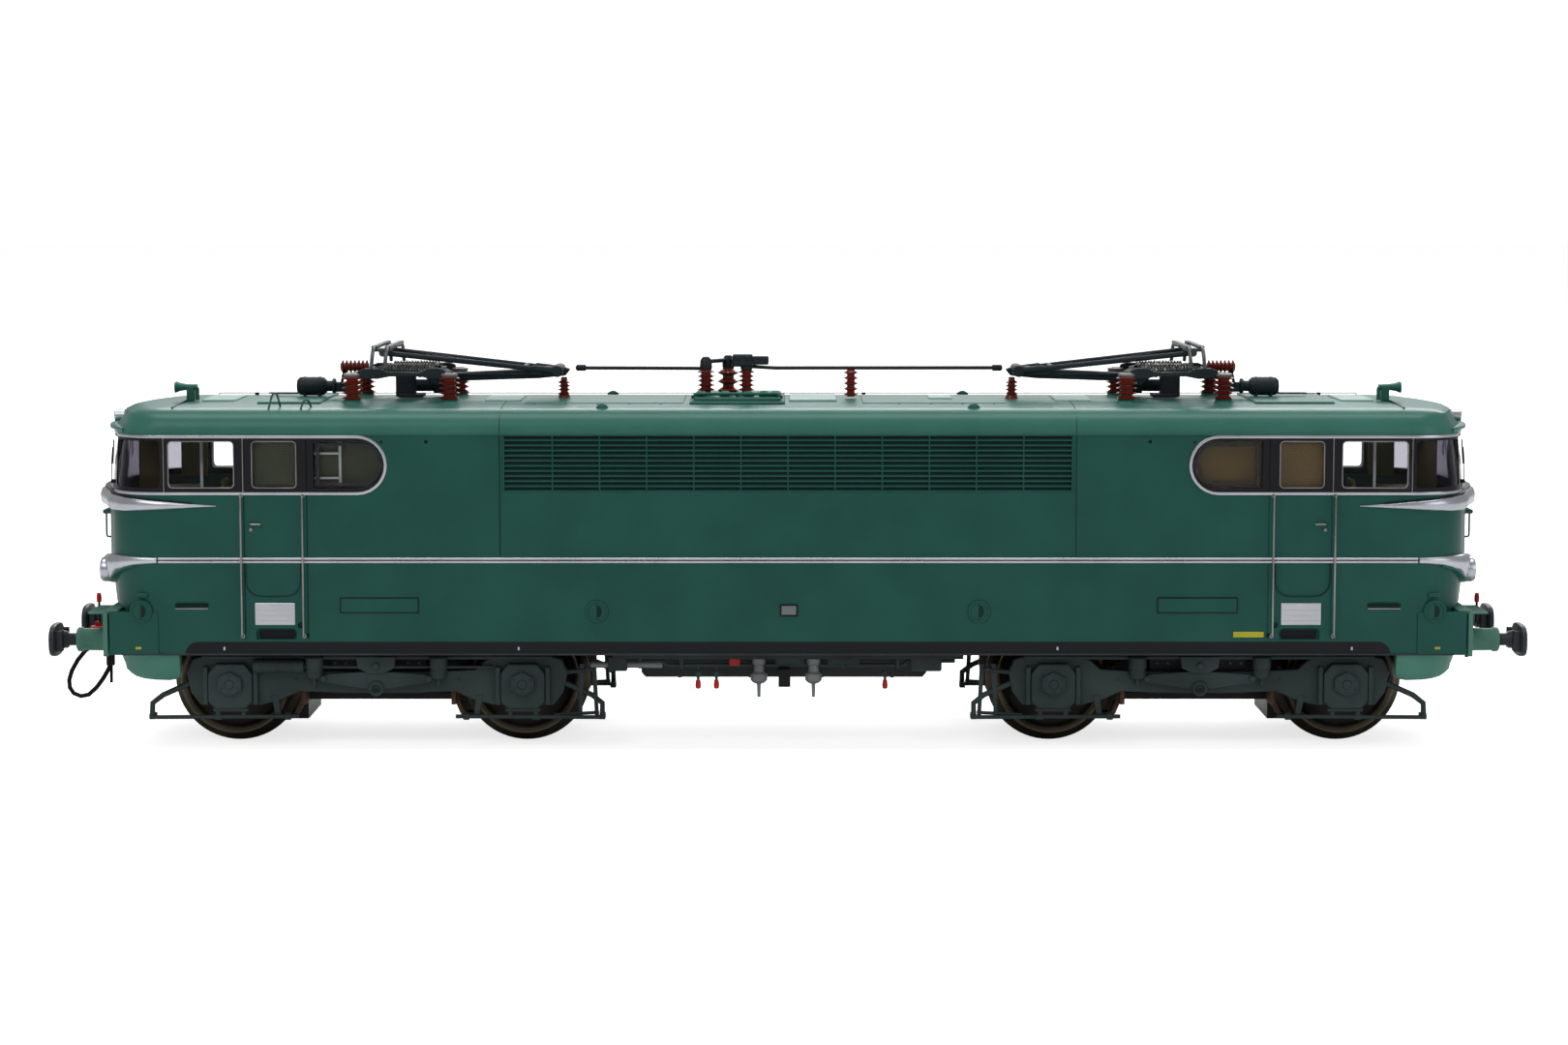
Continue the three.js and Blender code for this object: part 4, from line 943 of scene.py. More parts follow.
def nose_fittings():
    """Centre grab rail and handle on the nose, wipers and the round lamps."""
    rail = []
    for y in (-3.4, 3.4):
        x = 86.8
        run = [(x - 0.6, y, 25.6), (x + 0.6, y, 25.6), (x + 0.6, y, 28.9), (x - 0.6, y, 28.9)]
        rail.append(pipe("rail", bent(run, 0.3), 0.13))
    ledge = block("handle", (86.0, 87.75), (-4.2, 4.2), (28.6, 29.15), 0.2, 3)
    half = joined("nose_grab_rails", rail, ledge)
    dress(joined("nose_grab_rails", half, mirrored(half, "rail", x=-1)), DEEP_GREEN)
    arms = []
    for y in (-8.5, 3.2):
        arms.append(pipe("wiper", [on_nose(y, 33.2, 0.3), on_nose(y + 1.2, 35.3, 0.35),
                                   on_nose(y + 2.4, 37.3, 0.25)], 0.1, 6))
        arms.append(pipe("blade", [on_nose(y + 2.2, 35.2, 0.12), on_nose(y + 2.5, 38.3, 0.12)], 0.14, 6))
        arms.append(pipe("hub", [on_nose(y, 33.2, -0.2), on_nose(y, 33.2, 0.4)], 0.28, 10))
    half = joined("windscreen_wipers", arms)
    dress(joined("windscreen_wipers", half, mirrored(half, "wiper", x=-1)), BLACK)
    lamps, lenses = [], []
    x, z, radius = 86.1, 22.15, 1.6
    for y in (-10, 10):
        lamps.append(turned("lamp", [(0, x - 2.4), (radius * 0.8, x - 2.3), (radius, x - 1.4),
                                     (radius, x + 0.3),
                                     (radius - 0.12, x + 0.62), (radius - 0.32, x + 0.72),
                                     (radius - 0.42, x + 0.4),
                                     (0, x + 0.25)],
                            "x", (0, y, z), 28))
        lenses.append(turned("lens", [(0, x + 0.1), (radius - 0.46, x + 0.1), (radius - 0.46, x + 0.45),
                                      (radius * 0.45, x + 0.6), (0, x + 0.66)], "x", (0, y, z), 24))
    top = turned("lamp", [(0, 85.4), (0.85, 85.4), (0.85, 86.6), (0.76, 86.7), (0.66, 86.6), (0.62, 86.4),
                          (0, 86.3)],
                 "x", (0, 0, 40.95), 28)
    half = joined("headlamps", lamps, top)
    dress(joined("headlamps", half, mirrored(half, "lamp", x=-1)), SILVER)
    lenses.append(turned("lens", [(0, 86.35), (0.6, 86.35), (0.6, 86.45), (0.35, 86.55), (0, 86.58)], "x",
                         (0, 0, 40.95), 24))
    half = joined("headlamp_lenses", lenses)
    dress(joined("headlamp_lenses", half, mirrored(half, "lens", x=-1)), LENS)


def cab_uprights():
    """Narrow blind beside each corner window."""
    upright = block("upright", (77.4, 80.9), (-14.9, -14.6), (32.2, 39.2), 0.08)
    dress(all_quarters("cab_uprights", upright), OLIVE)


def cab_interiors():
    """Floor, desk, rear wall, seats and the blinds behind the side windows."""
    parts = [block("floor", (67.2, 82.5), (-14.4, 14.4), (18.6, 19.6), 0.1),
             block("wall", (67.2, 68.0), (-14.4, 14.4), (19.4, 38.2), 0.1),
             block("desk", (79.4, 83.0), (-11.5, 11.5), (19.4, 30.8), 0.4, 3),
             block("desk_top", (77.8, 83.2), (-12, 12), (30.6, 31.5), 0.25)]
    for y in (-6.5, 6.5):
        parts += [disc("post", 0.6, "z", (19.5, 24), (73.4, y, 0), 12),
                  block("seat", (71.6, 75.4), (y - 2.2, y + 2.2), (24, 25), 0.4, 3),
                  block("back", (71.2, 71.9), (y - 2.1, y + 2.1), (24.6, 33.5), 0.35, 3)]
    cab = joined("cab_fittings", parts)
    dress(joined("cab_fittings", cab, mirrored(cab, "cab", x=-1)), OLIVE,
          replaces=["cab_interior_a", "cab_interior_b"])
    blind = block("blind", (60.4, 67.1), (-16.1, -15.7), (31.5, 39.2), 0.1)
    rear = block("blind", (49.6, 59.2), (-15.0, -14.6), (31.5, 39.2), 0.1)
    brown = both_flanks("brown_blinds", blind, rear)
    dress(brown, BLIND_BROWN)
    olive = placed(brown, "olive_blinds", Matrix.Diagonal((-1, 1, 1, 1)))
    dress(olive, BLIND_OLIVE)
    bars = [block("bar", (-55.9, -55.55), (-15.8, -15.5), (33.2, 38.7), 0.06)]
    bars += [block("bar", (-59, -55.6), (-15.8, -15.5), (z, z + 0.28), 0.06) for z in (34.05, 37.1)]
    dress(both_flanks("grille_bars", bars), VALVE_GREY)


# ---------------------------------------------------------------- roof


ROOF_PROFILE = ((ROOF_BOTTOM, 0.0, 0.0), (40.3, -0.03, 0.3), (41.0, -0.2, 0.7), (41.65, -0.6, 0.6),
                (42.15, -1.2, 0.25),
                (42.5, -1.9, -0.25), (42.72, -2.6, -0.7))
CROWN_BASE = 42.75
CROWN_RISE = 0.4
CROWN_RINGS = ((-3.4, 0.05, -0.8), (-4.6, 0.11, -0.9), (-6.5, 0.2, -1.7), (-9, 0.29, -2.8), (-12, 0.36, -4.0),
               (-14.5, 0.39, -5.0))


def roof_z(y):
    return CROWN_BASE + CROWN_RISE * (1 - (y / 14) ** 2)


def roof_ring(z, out, inset):
    """Ring of the roof at a height, its ends drawn in more than its sides."""
    return [(x - math.copysign(inset, x) if abs(x) > 60 else x, y, z) for x, y, z in plan_ring(z, out)]


def roof_cover():
    rings = [roof_ring(z, out, inset) for z, out, inset in ROOF_PROFILE]
    for out, rise, inset in CROWN_RINGS:
        rings.append(roof_ring(CROWN_BASE + rise, out, inset))
    cover = shaped_tube("roof_cover_shape", rings, 30)
    bodies = block("cutter", (-76, 76), (-15.2, 15.2), (38, 41.3), 0)
    cut(cover, bodies)
    joints = [block("cutter", (x - 0.07, x + 0.07), (-20, 20), (39, 50), 0) for x in (-35.8, 35.8)]
    shell = cut(cover, *[clipped(joint) for joint in joints])
    smoothed(shell, 30)
    return dress(shell, ROOF_GREEN, replaces=["roof_cover"])


def clipped(joint):
    """A roof joint cutter hollowed so that it only scratches the surface."""
    rings = [roof_ring(z, out - 0.12, inset) for z, out, inset in ROOF_PROFILE]
    rings += [roof_ring(CROWN_BASE - 0.12 + rise, out, inset) for out, rise, inset in CROWN_RINGS]
    core = shaped_tube("core", rings, 30)
    return cut(joint, core)


def crowned(name, x0, x1, y0, y1, lift, edge=0.08):
    """A panel that follows the crown of the roof."""
    steps = 8
    top = [(y1 + (y0 - y1) * i / steps, roof_z(y1 + (y0 - y1) * i / steps) + lift) for i in range(steps + 1)]
    return traced(name, [(y0, 42.0), (y1, 42.0)] + top, (x0, x1), plane="yz", edge=edge)


def roof_panels():
    panels = []
    for x0, x1 in ((-33.2, -13.2), (9.4, 27.6)):
        panels.append(crowned("panel", x0, x1, -8.6, 8.6, 0.12))
    panels.append(crowned("hatch", 59, 69, -9, 9, 0.3, 0.12))
    panels.append(crowned("hatch", -67, -59, -9, 9, 0.3, 0.12))
    dress(joined("roof_panels", panels), ROOF_GREEN)
    pale = [crowned("pad", x0, x1, -5.2, 5.2, 0.2) for x0,
            x1 in ((-38.6, -34), (34, 38.6), (70.4, 74.6), (-74.6, -70.4))]
    pale += [crowned("pad", x0, x1, y0, y1, 0.3) for x0, x1, y0, y1 in ((0.2, 6.2, -6, 6), (18, 21, -3, 3))]
    dress(joined("roof_walk_pads", pale), finish("walk_pad", srgb(168, 192, 186), srgb(150, 176, 170), 0.55,
                                                 bump=0.4))
    lugs = [disc("lug", 0.85, "y", (-13.85, -13.35), (x, 0, 42.5), 18) for x in (-23.2, 23.2)]
    lugs += [disc("hole", 0.4, "y", (-13.9, -13.8), (x, 0, 42.7), 12) for x in (-23.2, 23.2)]
    dress(both_flanks("roof_lugs", lugs), ROOF_GREEN)
    rivets = [turned("rivet", [(0, 0.12), (0.12, 0.1), (0.18, 0), (0.18, -0.3), (0, -0.3)], "z",
                     (x, y, roof_z(y)), 8)
              for x in (14, 18, 22, 26, -16, -20, -24, -28, -32) for y in (-9.4, 9.4)]
    dress(joined("roof_rivets", rivets), ROOF_GREEN)
    gutter = [(s, ROOF_BOTTOM - 0.06, ROOF_BOTTOM + 0.12, 0.1) for s, _ in along(0, nose_s(39.6), 0, 60)]
    dress(all_quarters("roof_gutter", swept("gutter", gutter, False)), DEEP_GREEN)
    brow = [(s, 39.75, 40.35, 0.05 + 0.55 * min(1, max(0, (s - 84) / 6))) for s,
            _ in along(84, nose_s(40), 0, 14)]
    dress(all_quarters("roof_brows", swept("brow", brow)), ROOF_GREEN)


def grab_hoops():
    hoops = []
    for x, top in ((-64.2, 44.6), (-60.3, 43.8)):
        run = [(x - 0.75, -15.0, 41.6), (x - 0.1, -13.9, top), (x + 0.35, -13.2, top), (x + 0.75, -12.6, 42.5)]
        hoops.append(pipe("hoop", bent(run, 0.4), 0.13))
    dress(joined("roof_grab_hoops", hoops), DEEP_GREEN)
    pipes = [pipe("roof_pipe", bent([(-75, 10.5, 42.6), (-75, 10.5, 43.22), (75, 10.5, 43.22),
                                     (75, 10.5, 42.6)], 0.3), 0.13, 6)]
    for x in range(-70, 71, 20):
        pipes.append(block("clip", (x - 0.25, x + 0.25), (10.2, 10.8), (42.6, 43.3), 0.05))
    dress(joined("roof_pipe_run", pipes), BLACK)


# ---------------------------------------------------------------- ends: beams, buffers, hose


def end_beams():
    face = BEAM_FACE
    housings = []
    for y in (-BUFFER_Y_ABS, BUFFER_Y_ABS):
        housings.append(turned("housing", [(0.95, face - 0.5), (1.75, face - 0.5), (1.75, face + 0.9),
                                           (1.45, face + 1.2),
                                           (1.4, 89.1), (1.55, 89.3), (1.55, 89.85), (1.35, 90.0), (0.95, 90.0),
                                           (0.95, face - 0.5)], "x", (0, y, BUFFER_Z), 32))
        housings.append(block("flange", (face - 0.4, face + 0.3), (y - 1.9, y + 1.9), (11.9, 15.0), 0.2))
        for dy in (-1.45, 1.45):
            for z in (12.4, 14.5):
                housings.append(disc("bolt", 0.22, "x", (face, face + 0.5), (0, y + dy, z), 6, 0.04))
    plate = block("plate", (84.85, face), (-16.8, 16.8), (BODY_BOTTOM - 0.2, 17.5), 0.06)
    sill = block("sill", (83.6, 85.3), (-16.5, 16.5), (17.2, LEDGE_Z), 0.1)
    cheek = block("cheek", (78.5, 84.6), (-HALF_WIDTH - 0.003, -15.9), (BODY_BOTTOM + 0.02, 17.5), 0)
    dress(all_quarters("end_cheeks", cheek), BODY)
    hook = [block("hook", (face - 0.3, 87.6), (-0.5, 0.5), (12.5, 13.7), 0.3, 3),
            pipe("hook_bend", [(87.2, 0, 13.1), (88.1, 0, 13.1), (88.5, 0, 13.6), (88.3, 0, 14.2)], 0.42, 8),
            block("slot", (face - 0.2, face + 0.5), (-1.6, 1.6), (12.0, 14.4), 0.2)]
    boxes = [block("box", (face - 0.1, 87.2), (y - 0.7, y + 0.7), (14.9, 16.8), 0.2) for y in (-8.6, 8.6)]
    box = joined("end_boxes", boxes)
    dress(joined("end_boxes", box, mirrored(box, "box", x=-1)), SLATE)
    beam = joined("end_beam_plate", plate, sill, housings, hook)
    both = joined("end_beam_plate", beam, mirrored(beam, "beam", x=-1))
    dress(both, CHASSIS_GREEN, replaces=["end_beam_a", "end_beam_b"])
    footplates = []
    for y in (-10.2, 10.2):
        footplates.append(block("foot", (face - 0.2, 87.95), (y - 3.4, y + 3.4), (16.85, 17.1), 0.06))
        footplates += [block("rib", (face, 87.9), (y + dy, y + dy + 0.2), (17.05, 17.2), 0.03,
                             1) for dy in range(-3, 4)]
    step = joined("footplates", footplates)
    dress(joined("footplates", step, mirrored(step, "foot", x=-1)), FOOTPLATE_GREEN)
    stations = []
    for s, low, out in ((76.0, 9.2, 0), (76.5, 8.85, 0), (77.5, 8.7, 0), (80, 8.7, 0.1), (82, 8.75, 0.3),
                        (84, 8.9, 0.6),
                        (86, 9.2, 0.85), (88, 9.5, 0.95), (91, 9.8, 0.95), (95, 9.9, 0.95),
                        (nose_s(12), 9.9, 0.95)):
        section = ((low, -2.1), (low + 0.05, -1.4), (low + 0.5, -0.8), (low + 1.2, -0.45), (12.4, -0.3),
                   (12.4, -2.1))
        stations.append([on_body(s, z, out + depth) for z, depth in section])
    valance = shaped_tube("valance", stations, 45)
    dress(all_quarters("end_valances", valance), VALANCE_GREEN)
    cocks = []
    for y in (-7.9, 7.9):
        cocks.append(turned("cock", [(0, 17.6), (0.3, 17.7), (0.34, 18.3), (0.26, 18.85), (0, 18.9)], "z",
                            (87.65, y, 0), 14))
    tip = joined("red_cocks", cocks)
    dress(joined("red_cocks", tip, mirrored(tip, "cock", x=-1)), RED)
    stems = []
    for y in (-7.9, 7.9):
        stems.append(pipe("stem", bent([(87.65, y, 17.7), (87.65, y, 15.2), (86.9, y, 14.4), (85.3, y, 14.4)],
                                       0.4), 0.16))
        stems.append(pipe("pipe", bent([(85.3, y + 1.6 * math.copysign(1, -y), 13.2),
                                        (86.8, y + 1.6 * math.copysign(1, -y), 13.2),
                                        (86.8, y + 1.6 * math.copysign(1, -y), 10.4)], 0.5), 0.22))
    stem = joined("end_pipework", stems)
    dress(joined("end_pipework", stem, mirrored(stem, "stem", x=-1)), BLACK)


def buffers():
    """Oblong head with a ribbed back and a rounded rim, on its shank."""
    points = []
    for i in range(40):
        angle = math.tau * i / 40
        c, s = math.cos(angle), math.sin(angle)
        points.append((math.copysign(abs(c) ** 0.7, c) * 3.42, math.copysign(abs(s) ** 0.7, s) * 2.05))
    end = BUFFER_END
    rings = []
    for x, grow in ((end - 2.0, -2.55), (end - 1.35, -2.2), (end - 0.85, -0.9), (end - 0.72, -0.08),
                    (end - 0.62, 0.0),
                    (end - 0.22, 0.0), (end - 0.08, -0.08), (end, -0.5)):
        scale_y, scale_z = max(0.25, (3.42 + grow) / 3.42), max(0.3, (1.98 + grow * 0.55) / 1.98)
        rings.append([(x, -BUFFER_Y_ABS + y * scale_y, BUFFER_Z + z * scale_z) for y, z in points])
    head = shaped_tube("head", rings, 40)
    shank = turned("shank", [(0, 87.25), (0.8, 87.25), (0.8, 91.0), (1.05, 91.3), (1.2, 91.9), (0, 91.9)], "x",
                   (0, -BUFFER_Y_ABS, BUFFER_Z), 20)
    ribs = [block("rib", (end - 1.6, end - 0.65), (-BUFFER_Y_ABS + dy - 0.12, -BUFFER_Y_ABS + dy + 0.12),
                  (BUFFER_Z - 1.3, BUFFER_Z + 1.3), 0.05, 1) for dy in (-2.2, -1.3, 1.3, 2.2)]
    near = joined("buffer_shape_b_near", head, shank, ribs)
    for end_name, x in (("b", 1), ("a", -1)):
        for flank, y in (("near", 1), ("far", -1)):
            name = f"buffer_shape_{end_name}_{flank}"
            piece = near if (x, y) == (1, 1) else mirrored(near, name, x, y)
            dress(piece, BUFFER_BLACK, f"buffer_{end_name}_{flank}",
                  [f"buffer_{end_name}_{flank}"])


def brake_hose():
    """Rigid moulded hose, its coupling head, cock and hanging lever at end a."""
    y = -6.0
    route = [(-88.94, 11.85), (-89.9, 11.2), (-90.9, 10.0), (-91.7, 8.6), (-92.07, 7.4), (-92.0, 6.4),
             (-91.5, 5.65),
             (-90.6, 5.3), (-89.6, 5.5), (-88.6, 6.4), (-87.7, 7.6), (-87.0, 8.8), (-86.7, 9.6)]
    parts = [pipe("hose", [(x, y, z) for x, z in route], 0.29, 12)]
    parts.append(pipe("collar", [(-88.85, y, 12.1), (-89.15, y, 11.55)], 0.36, 10))
    parts.append(block("plug", (-87.2, -86.2), (y - 0.42, y + 0.42), (9.3, 11.2), 0.12))
    parts.append(pipe("stem", [(-86.7, y, 11.1), (-86.7, y, 13.2), (-85.4, y, 13.2)], 0.22, 8))
    parts.append(pipe("lever", bent([(-87.8, y + 1.2, 10.8), (-86.85, y + 1.2, 10.1), (-86.9, y + 1.2, 6.9)],
                                    0.4), 0.2, 8))
    parts.append(pipe("ribs", [(-86.8, y + 1.2, 10.0), (-86.8, y + 1.2, 12.8)], 0.3, 8))
    dress(joined("brake_hose_run", parts), RUBBER, replaces=["brake_hose"])
    valve = [block("valve", (-89.25, -87.1), (y - 0.62, y + 0.62), (13.05, 14.4), 0.25, 3),
             turned("cap", [(0, 12.35), (0.42, 12.35), (0.5, 12.7), (0.42, 13.2), (0, 13.2)], "z",
                    (-88.75, y, 0), 14),
             pipe("inlet", [(-87.3, y, 13.6), (-85.3, y, 13.6)], 0.36, 10),
             block("handle", (-88.6, -87.7), (y - 0.2, y + 0.2), (14.3, 15.0), 0.1)]
    dress(joined("brake_valve", valve), RED)


# ---------------------------------------------------------------- bogies


FACE = -14.1
INNER = -12.7


def side_outline():
    half = [(4.6, 6.9), (9.8, 7.1), (12.2, 6.0), (14.6, 5.4), (22.2, 5.4), (23.4, 7.0), (23.9, 9.6),
            (23.2, 11.2), (21.5, 11.7),
            (15.2, 11.7), (13.6, 11.0), (12.4, 9.9), (6, 9.6)]
    points = half + [(-x, z) for x, z in reversed(half)]
    return [(BOGIE_X + x, z) for x, z in points]


def coil(name, x, y, z0, z1, radius, wire, turns, axis="z"):
    """A coil spring; along X its ends are given in place of heights."""
    steps = turns * 10
    points = []
    for i in range(steps + 1):
        angle = math.tau * turns * i / steps
        level = z0 + (z1 - z0) * i / steps
        if axis == "z":
            points.append((x + radius * math.cos(angle), y + radius * math.sin(angle), level))
        else:
            points.append((level, y + radius * math.cos(angle), x + radius * math.sin(angle)))
    return pipe(name, points, wire, 6)


def axle_box(x):
    """Axle box with its faceted cover, lower bolts and guides."""
    z = AXLE_Z
    shape = [(x - 2.75, z - 2.2), (x - 1.9, z - 3.05), (x + 1.9, z - 3.05), (x + 2.75, z - 2.2),
             (x + 2.75, z + 1.4),
             (x + 1.8, z + 2.6), (x - 1.8, z + 2.6), (x - 2.75, z + 1.4)]
    parts = [traced("box", shape, (FACE + 0.4, FACE - 1.0), edge=0.18, segments=2)]
    hexagon = [(x + 1.75 * math.cos(math.radians(a)),
                z + 0.1 + 1.6 * math.sin(math.radians(a))) for a in range(30, 390, 60)]
    parts.append(traced("cover", hexagon, (FACE - 0.8, FACE - 1.6), edge=0.2, segments=2))
    parts.append(turned("hub", [(0, FACE - 1.78), (0.5, FACE - 1.75), (0.62, FACE - 1.6), (0.62, FACE - 1.2),
                                (0, FACE - 1.2)],
                        "y", (x, 0, z + 0.1), 18))
    for angle in range(30, 390, 60):
        bx, bz = x + 1.25 * math.cos(math.radians(angle)), z + 0.1 + 1.15 * math.sin(math.radians(angle))
        parts.append(disc("bolt", 0.17, "y", (FACE - 1.72, FACE - 1.5), (bx, 0, bz), 6, 0.03))
    for dx in (-1.6, 1.6):
        parts.append(disc("bolt", 0.3, "z", (z - 4.0, z - 2.9), (x + dx, FACE - 0.3, 0), 8, 0.05))
        parts.append(block("guide", (x + dx * 1.95 - 0.3, x + dx * 1.95 + 0.3), (FACE - 0.75, FACE + 0.2),
                           (z - 2.6, z + 2.2), 0.1))
    parts.append(block("keep", (x - 2.2, x + 2.2), (FACE - 0.7, FACE + 0.2), (z - 3.45, z - 3.0), 0.1))
    return parts


def brake_shoe(x, way):
    """Cast shoe that hugs the tread."""
    radius = 8.0
    arc = [math.radians(a) for a in range(-26, 27, 13)]
    outer = [(x + way * (radius + 1.0) * math.cos(a),
              AXLE_Z - 1.2 + (radius + 1.0) * math.sin(a) * 0.8) for a in arc]
    inner = [(x + way * (radius + 0.35) * math.cos(a),
              AXLE_Z - 1.2 + (radius + 0.35) * math.sin(a) * 0.8) for a in reversed(arc)]
    return traced("shoe", outer + inner, (-11.4, -9.2), edge=0.1)


def side_frame_parts():
    """Everything on a side frame of end b's near side but the special fittings."""
    x = BOGIE_X
    frame_plate = traced("plate", side_outline(), (INNER, FACE), edge=0.15, segments=2)
    parts = [frame_plate]
    top_flange = block("flange", (x - 22, x + 22), (FACE - 0.45, FACE + 0.2), (11.2, 11.65), 0.1)
    parts.append(top_flange)
    for axle in (INNER_AXLE, OUTER_AXLE):
        parts += axle_box(axle)
    beam = [(x - 7.2, 8.9), (x - 6.6, 8.3), (x - 1.3, 7.55), (x + 1.3, 7.55), (x + 6.6, 8.3), (x + 7.2, 8.9),
            (x + 6.2, 9.4),
            (x + 0.9, 9.75), (x - 0.9, 9.75), (x - 6.2, 9.4)]
    parts.append(traced("beam", beam, (FACE + 0.3, FACE - 0.85), edge=0.12, segments=2))
    parts.append(ring_loft("ring", [[(x + (0.75 + 0.22 * math.cos(b)) * math.cos(a),
                                      FACE - 1.1 + 0.22 * math.sin(b),
                                      7.6 + (0.75 + 0.22 * math.cos(b)) * math.sin(a))
                                     for b in [math.tau * k / 6 for k in range(6)]]
                                    for a in [math.tau * j / 18 for j in range(18)]], 50))
    clevis = [(x - 2.5, 11.7), (x - 2.3, 10.2), (x - 0.9, 9.55), (x + 0.9, 9.55), (x + 2.3, 10.2),
              (x + 2.5, 11.7)]
    parts.append(traced("clevis", clevis, (FACE + 0.2, FACE - 1.2), edge=0.12, segments=2))
    parts.append(disc("pin", 0.42, "y", (FACE - 1.6, FACE - 0.8), (x, 0, 10.5), 14))
    for way in (-1, 1):
        px = x + way * 7.8
        parts.append(turned("pot", [(0, 8.9), (0.85, 8.9), (1.05, 9.15), (1.05, 10.1), (1.15, 10.2),
                                    (1.15, 11.5), (0.9, 11.75),
                                    (0, 11.75)], "z", (px, FACE - 0.65, 0), 20))
        parts.append(coil("spring", px, FACE - 0.65, 9.2, 10.2, 1.0, 0.14, 3))
        parts.append(disc("bolt", 0.28, "z", (7.9, 9.0), (px, FACE - 0.65, 0), 8, 0.05))
        parts.append(disc("eye", 0.4, "y", (FACE - 1.25, FACE - 0.6), (x + way * 6.6, 0, 8.85), 12))
        for dx in (3.9, 5.3, 10.2):
            parts.append(disc("rivet", 0.2, "y", (FACE - 0.14, FACE + 0.1),
                              (x + way * dx, 0, 10.7 if dx < 10 else 8.6), 8, 0.05))
        leg = x + way * 12.9
        parts.append(traced("hanger", [(leg - 0.45, 6.6), (leg + 0.45, 6.6), (leg - way * 0.5 + 0.3, 3.7),
                                       (leg - way * 0.5 - 0.3, 3.7)],
                            (FACE + 0.6, FACE - 0.1), edge=0.06))
        parts.append(pipe("brake_bar", [(x + way * 9.9, FACE - 0.35, 4.0), (x + way * 28.4, FACE - 0.35, 3.9)],
                          0.26, 8))
        parts.append(disc("nut", 0.45, "x", (x + way * 11.2 - 0.4, x + way * 11.2 + 0.4),
                          (0, FACE - 0.35, 4.0), 6, 0.08))
        parts.append(disc("nut", 0.4, "x", (x + way * 20 - 0.5, x + way * 20 + 0.5), (0, FACE - 0.35, 3.95), 6,
                          0.08))
        guard = [(x + way * 23.4, FACE + 0.5, 8.2), (x + way * 27.0, FACE + 0.5, 6.6),
                 (x + way * 28.3, FACE + 0.3, 5.6),
                 (x + way * 28.3, FACE - 0.2, 3.7)]
        parts.append(pipe("guard_iron", guard, 0.36, 8))
        parts.append(block("guard_foot", (x + way * 28.3 - 0.38, x + way * 28.3 + 0.38),
                           (FACE - 0.3, FACE + 1.4), (3.6, 4.3), 0.08))
    return parts


def lever_pair():
    """Paired brake levers and the curved pipe at the inboard end of a bogie side."""
    parts = []
    for x, lean in ((24.4, -0.35), (25.9, 0.25)):
        parts.append(traced("lever", [(x - 0.3, 10.6), (x + 0.3, 10.6), (x + lean + 0.25, 4.0),
                                      (x + lean - 0.25, 4.0)],
                            (FACE + 0.5, FACE + 0.15), edge=0.05))
        parts.append(disc("pin", 0.3, "y", (FACE + 0.0, FACE + 0.7), (x + lean, 0, 4.4), 10))
    parts.append(disc("pin", 0.32, "y", (FACE - 0.1, FACE + 0.7), (25.1, 0, 9.9), 10))
    parts.append(pipe("link", [(24.4, FACE + 0.3, 9.9), (29, FACE + 0.3, 9.4)], 0.3, 8))
    parts.append(pipe("rod", [(24.0, FACE + 0.3, 4.4), (29.5, FACE + 0.3, 4.1)], 0.22, 8))
    return parts


def side_frames():
    base = joined("side_frame_shape_b_near", side_frame_parts(), lever_pair())
    fluting = []
    fluting.append(turned("cylinder", [(0, -67), (0.75, -67), (0.9, -66.7), (0.9, -61.2), (0.75, -60.7),
                                       (0.3, -60.6), (0.3, -59.4),
                                       (0, -59.4)], "x", (0, FACE - 0.85, 10.45), 22))
    fluting += [disc("band", 0.97, "x", (at, at + 0.3), (0, FACE - 0.85, 10.45), 22, 0.06)
                for at in (-66.2, -64.2, -62.2)]
    fluting.append(pipe("rod", [(-59.6, FACE - 0.6, 10.3), (-53.2, FACE - 0.6, 10.3)], 0.2, 8))
    fluting.append(pipe("rod", [(-50.2, FACE - 0.6, 10.3), (-37, FACE - 0.5, 10.3)], 0.2, 8))
    for end_name, sx in (("b", 1), ("a", -1)):
        for flank, sy in (("near", 1), ("far", -1)):
            name = f"side_frame_shape_{end_name}_{flank}"
            piece = base if (sx, sy) == (1, 1) else mirrored(base, name, sx, sy)
            if (end_name, flank) == ("a", "near"):
                piece = joined(name, piece, fluting)
            dress(piece, SLATE, f"bogie_{end_name}", [f"side_frame_{end_name}_{flank}"])
    shoes = []
    for axle in (INNER_AXLE, OUTER_AXLE):
        shoes.append(brake_shoe(axle, 1 if axle < BOGIE_X else -1))
        way = 1 if axle < BOGIE_X else -1
        shoes.append(block("hanger", (axle + way * 8.9 - 0.3, axle + way * 8.9 + 0.3), (-12.6, -9.6),
                           (5.2, 9.0), 0.08))
    near = both_flanks("brake_shoes_b", shoes)
    far = mirrored(near, "brake_shoes_a", x=-1)
    dress(near, SHOE, "bogie_b")
    dress(far, SHOE, "bogie_a")


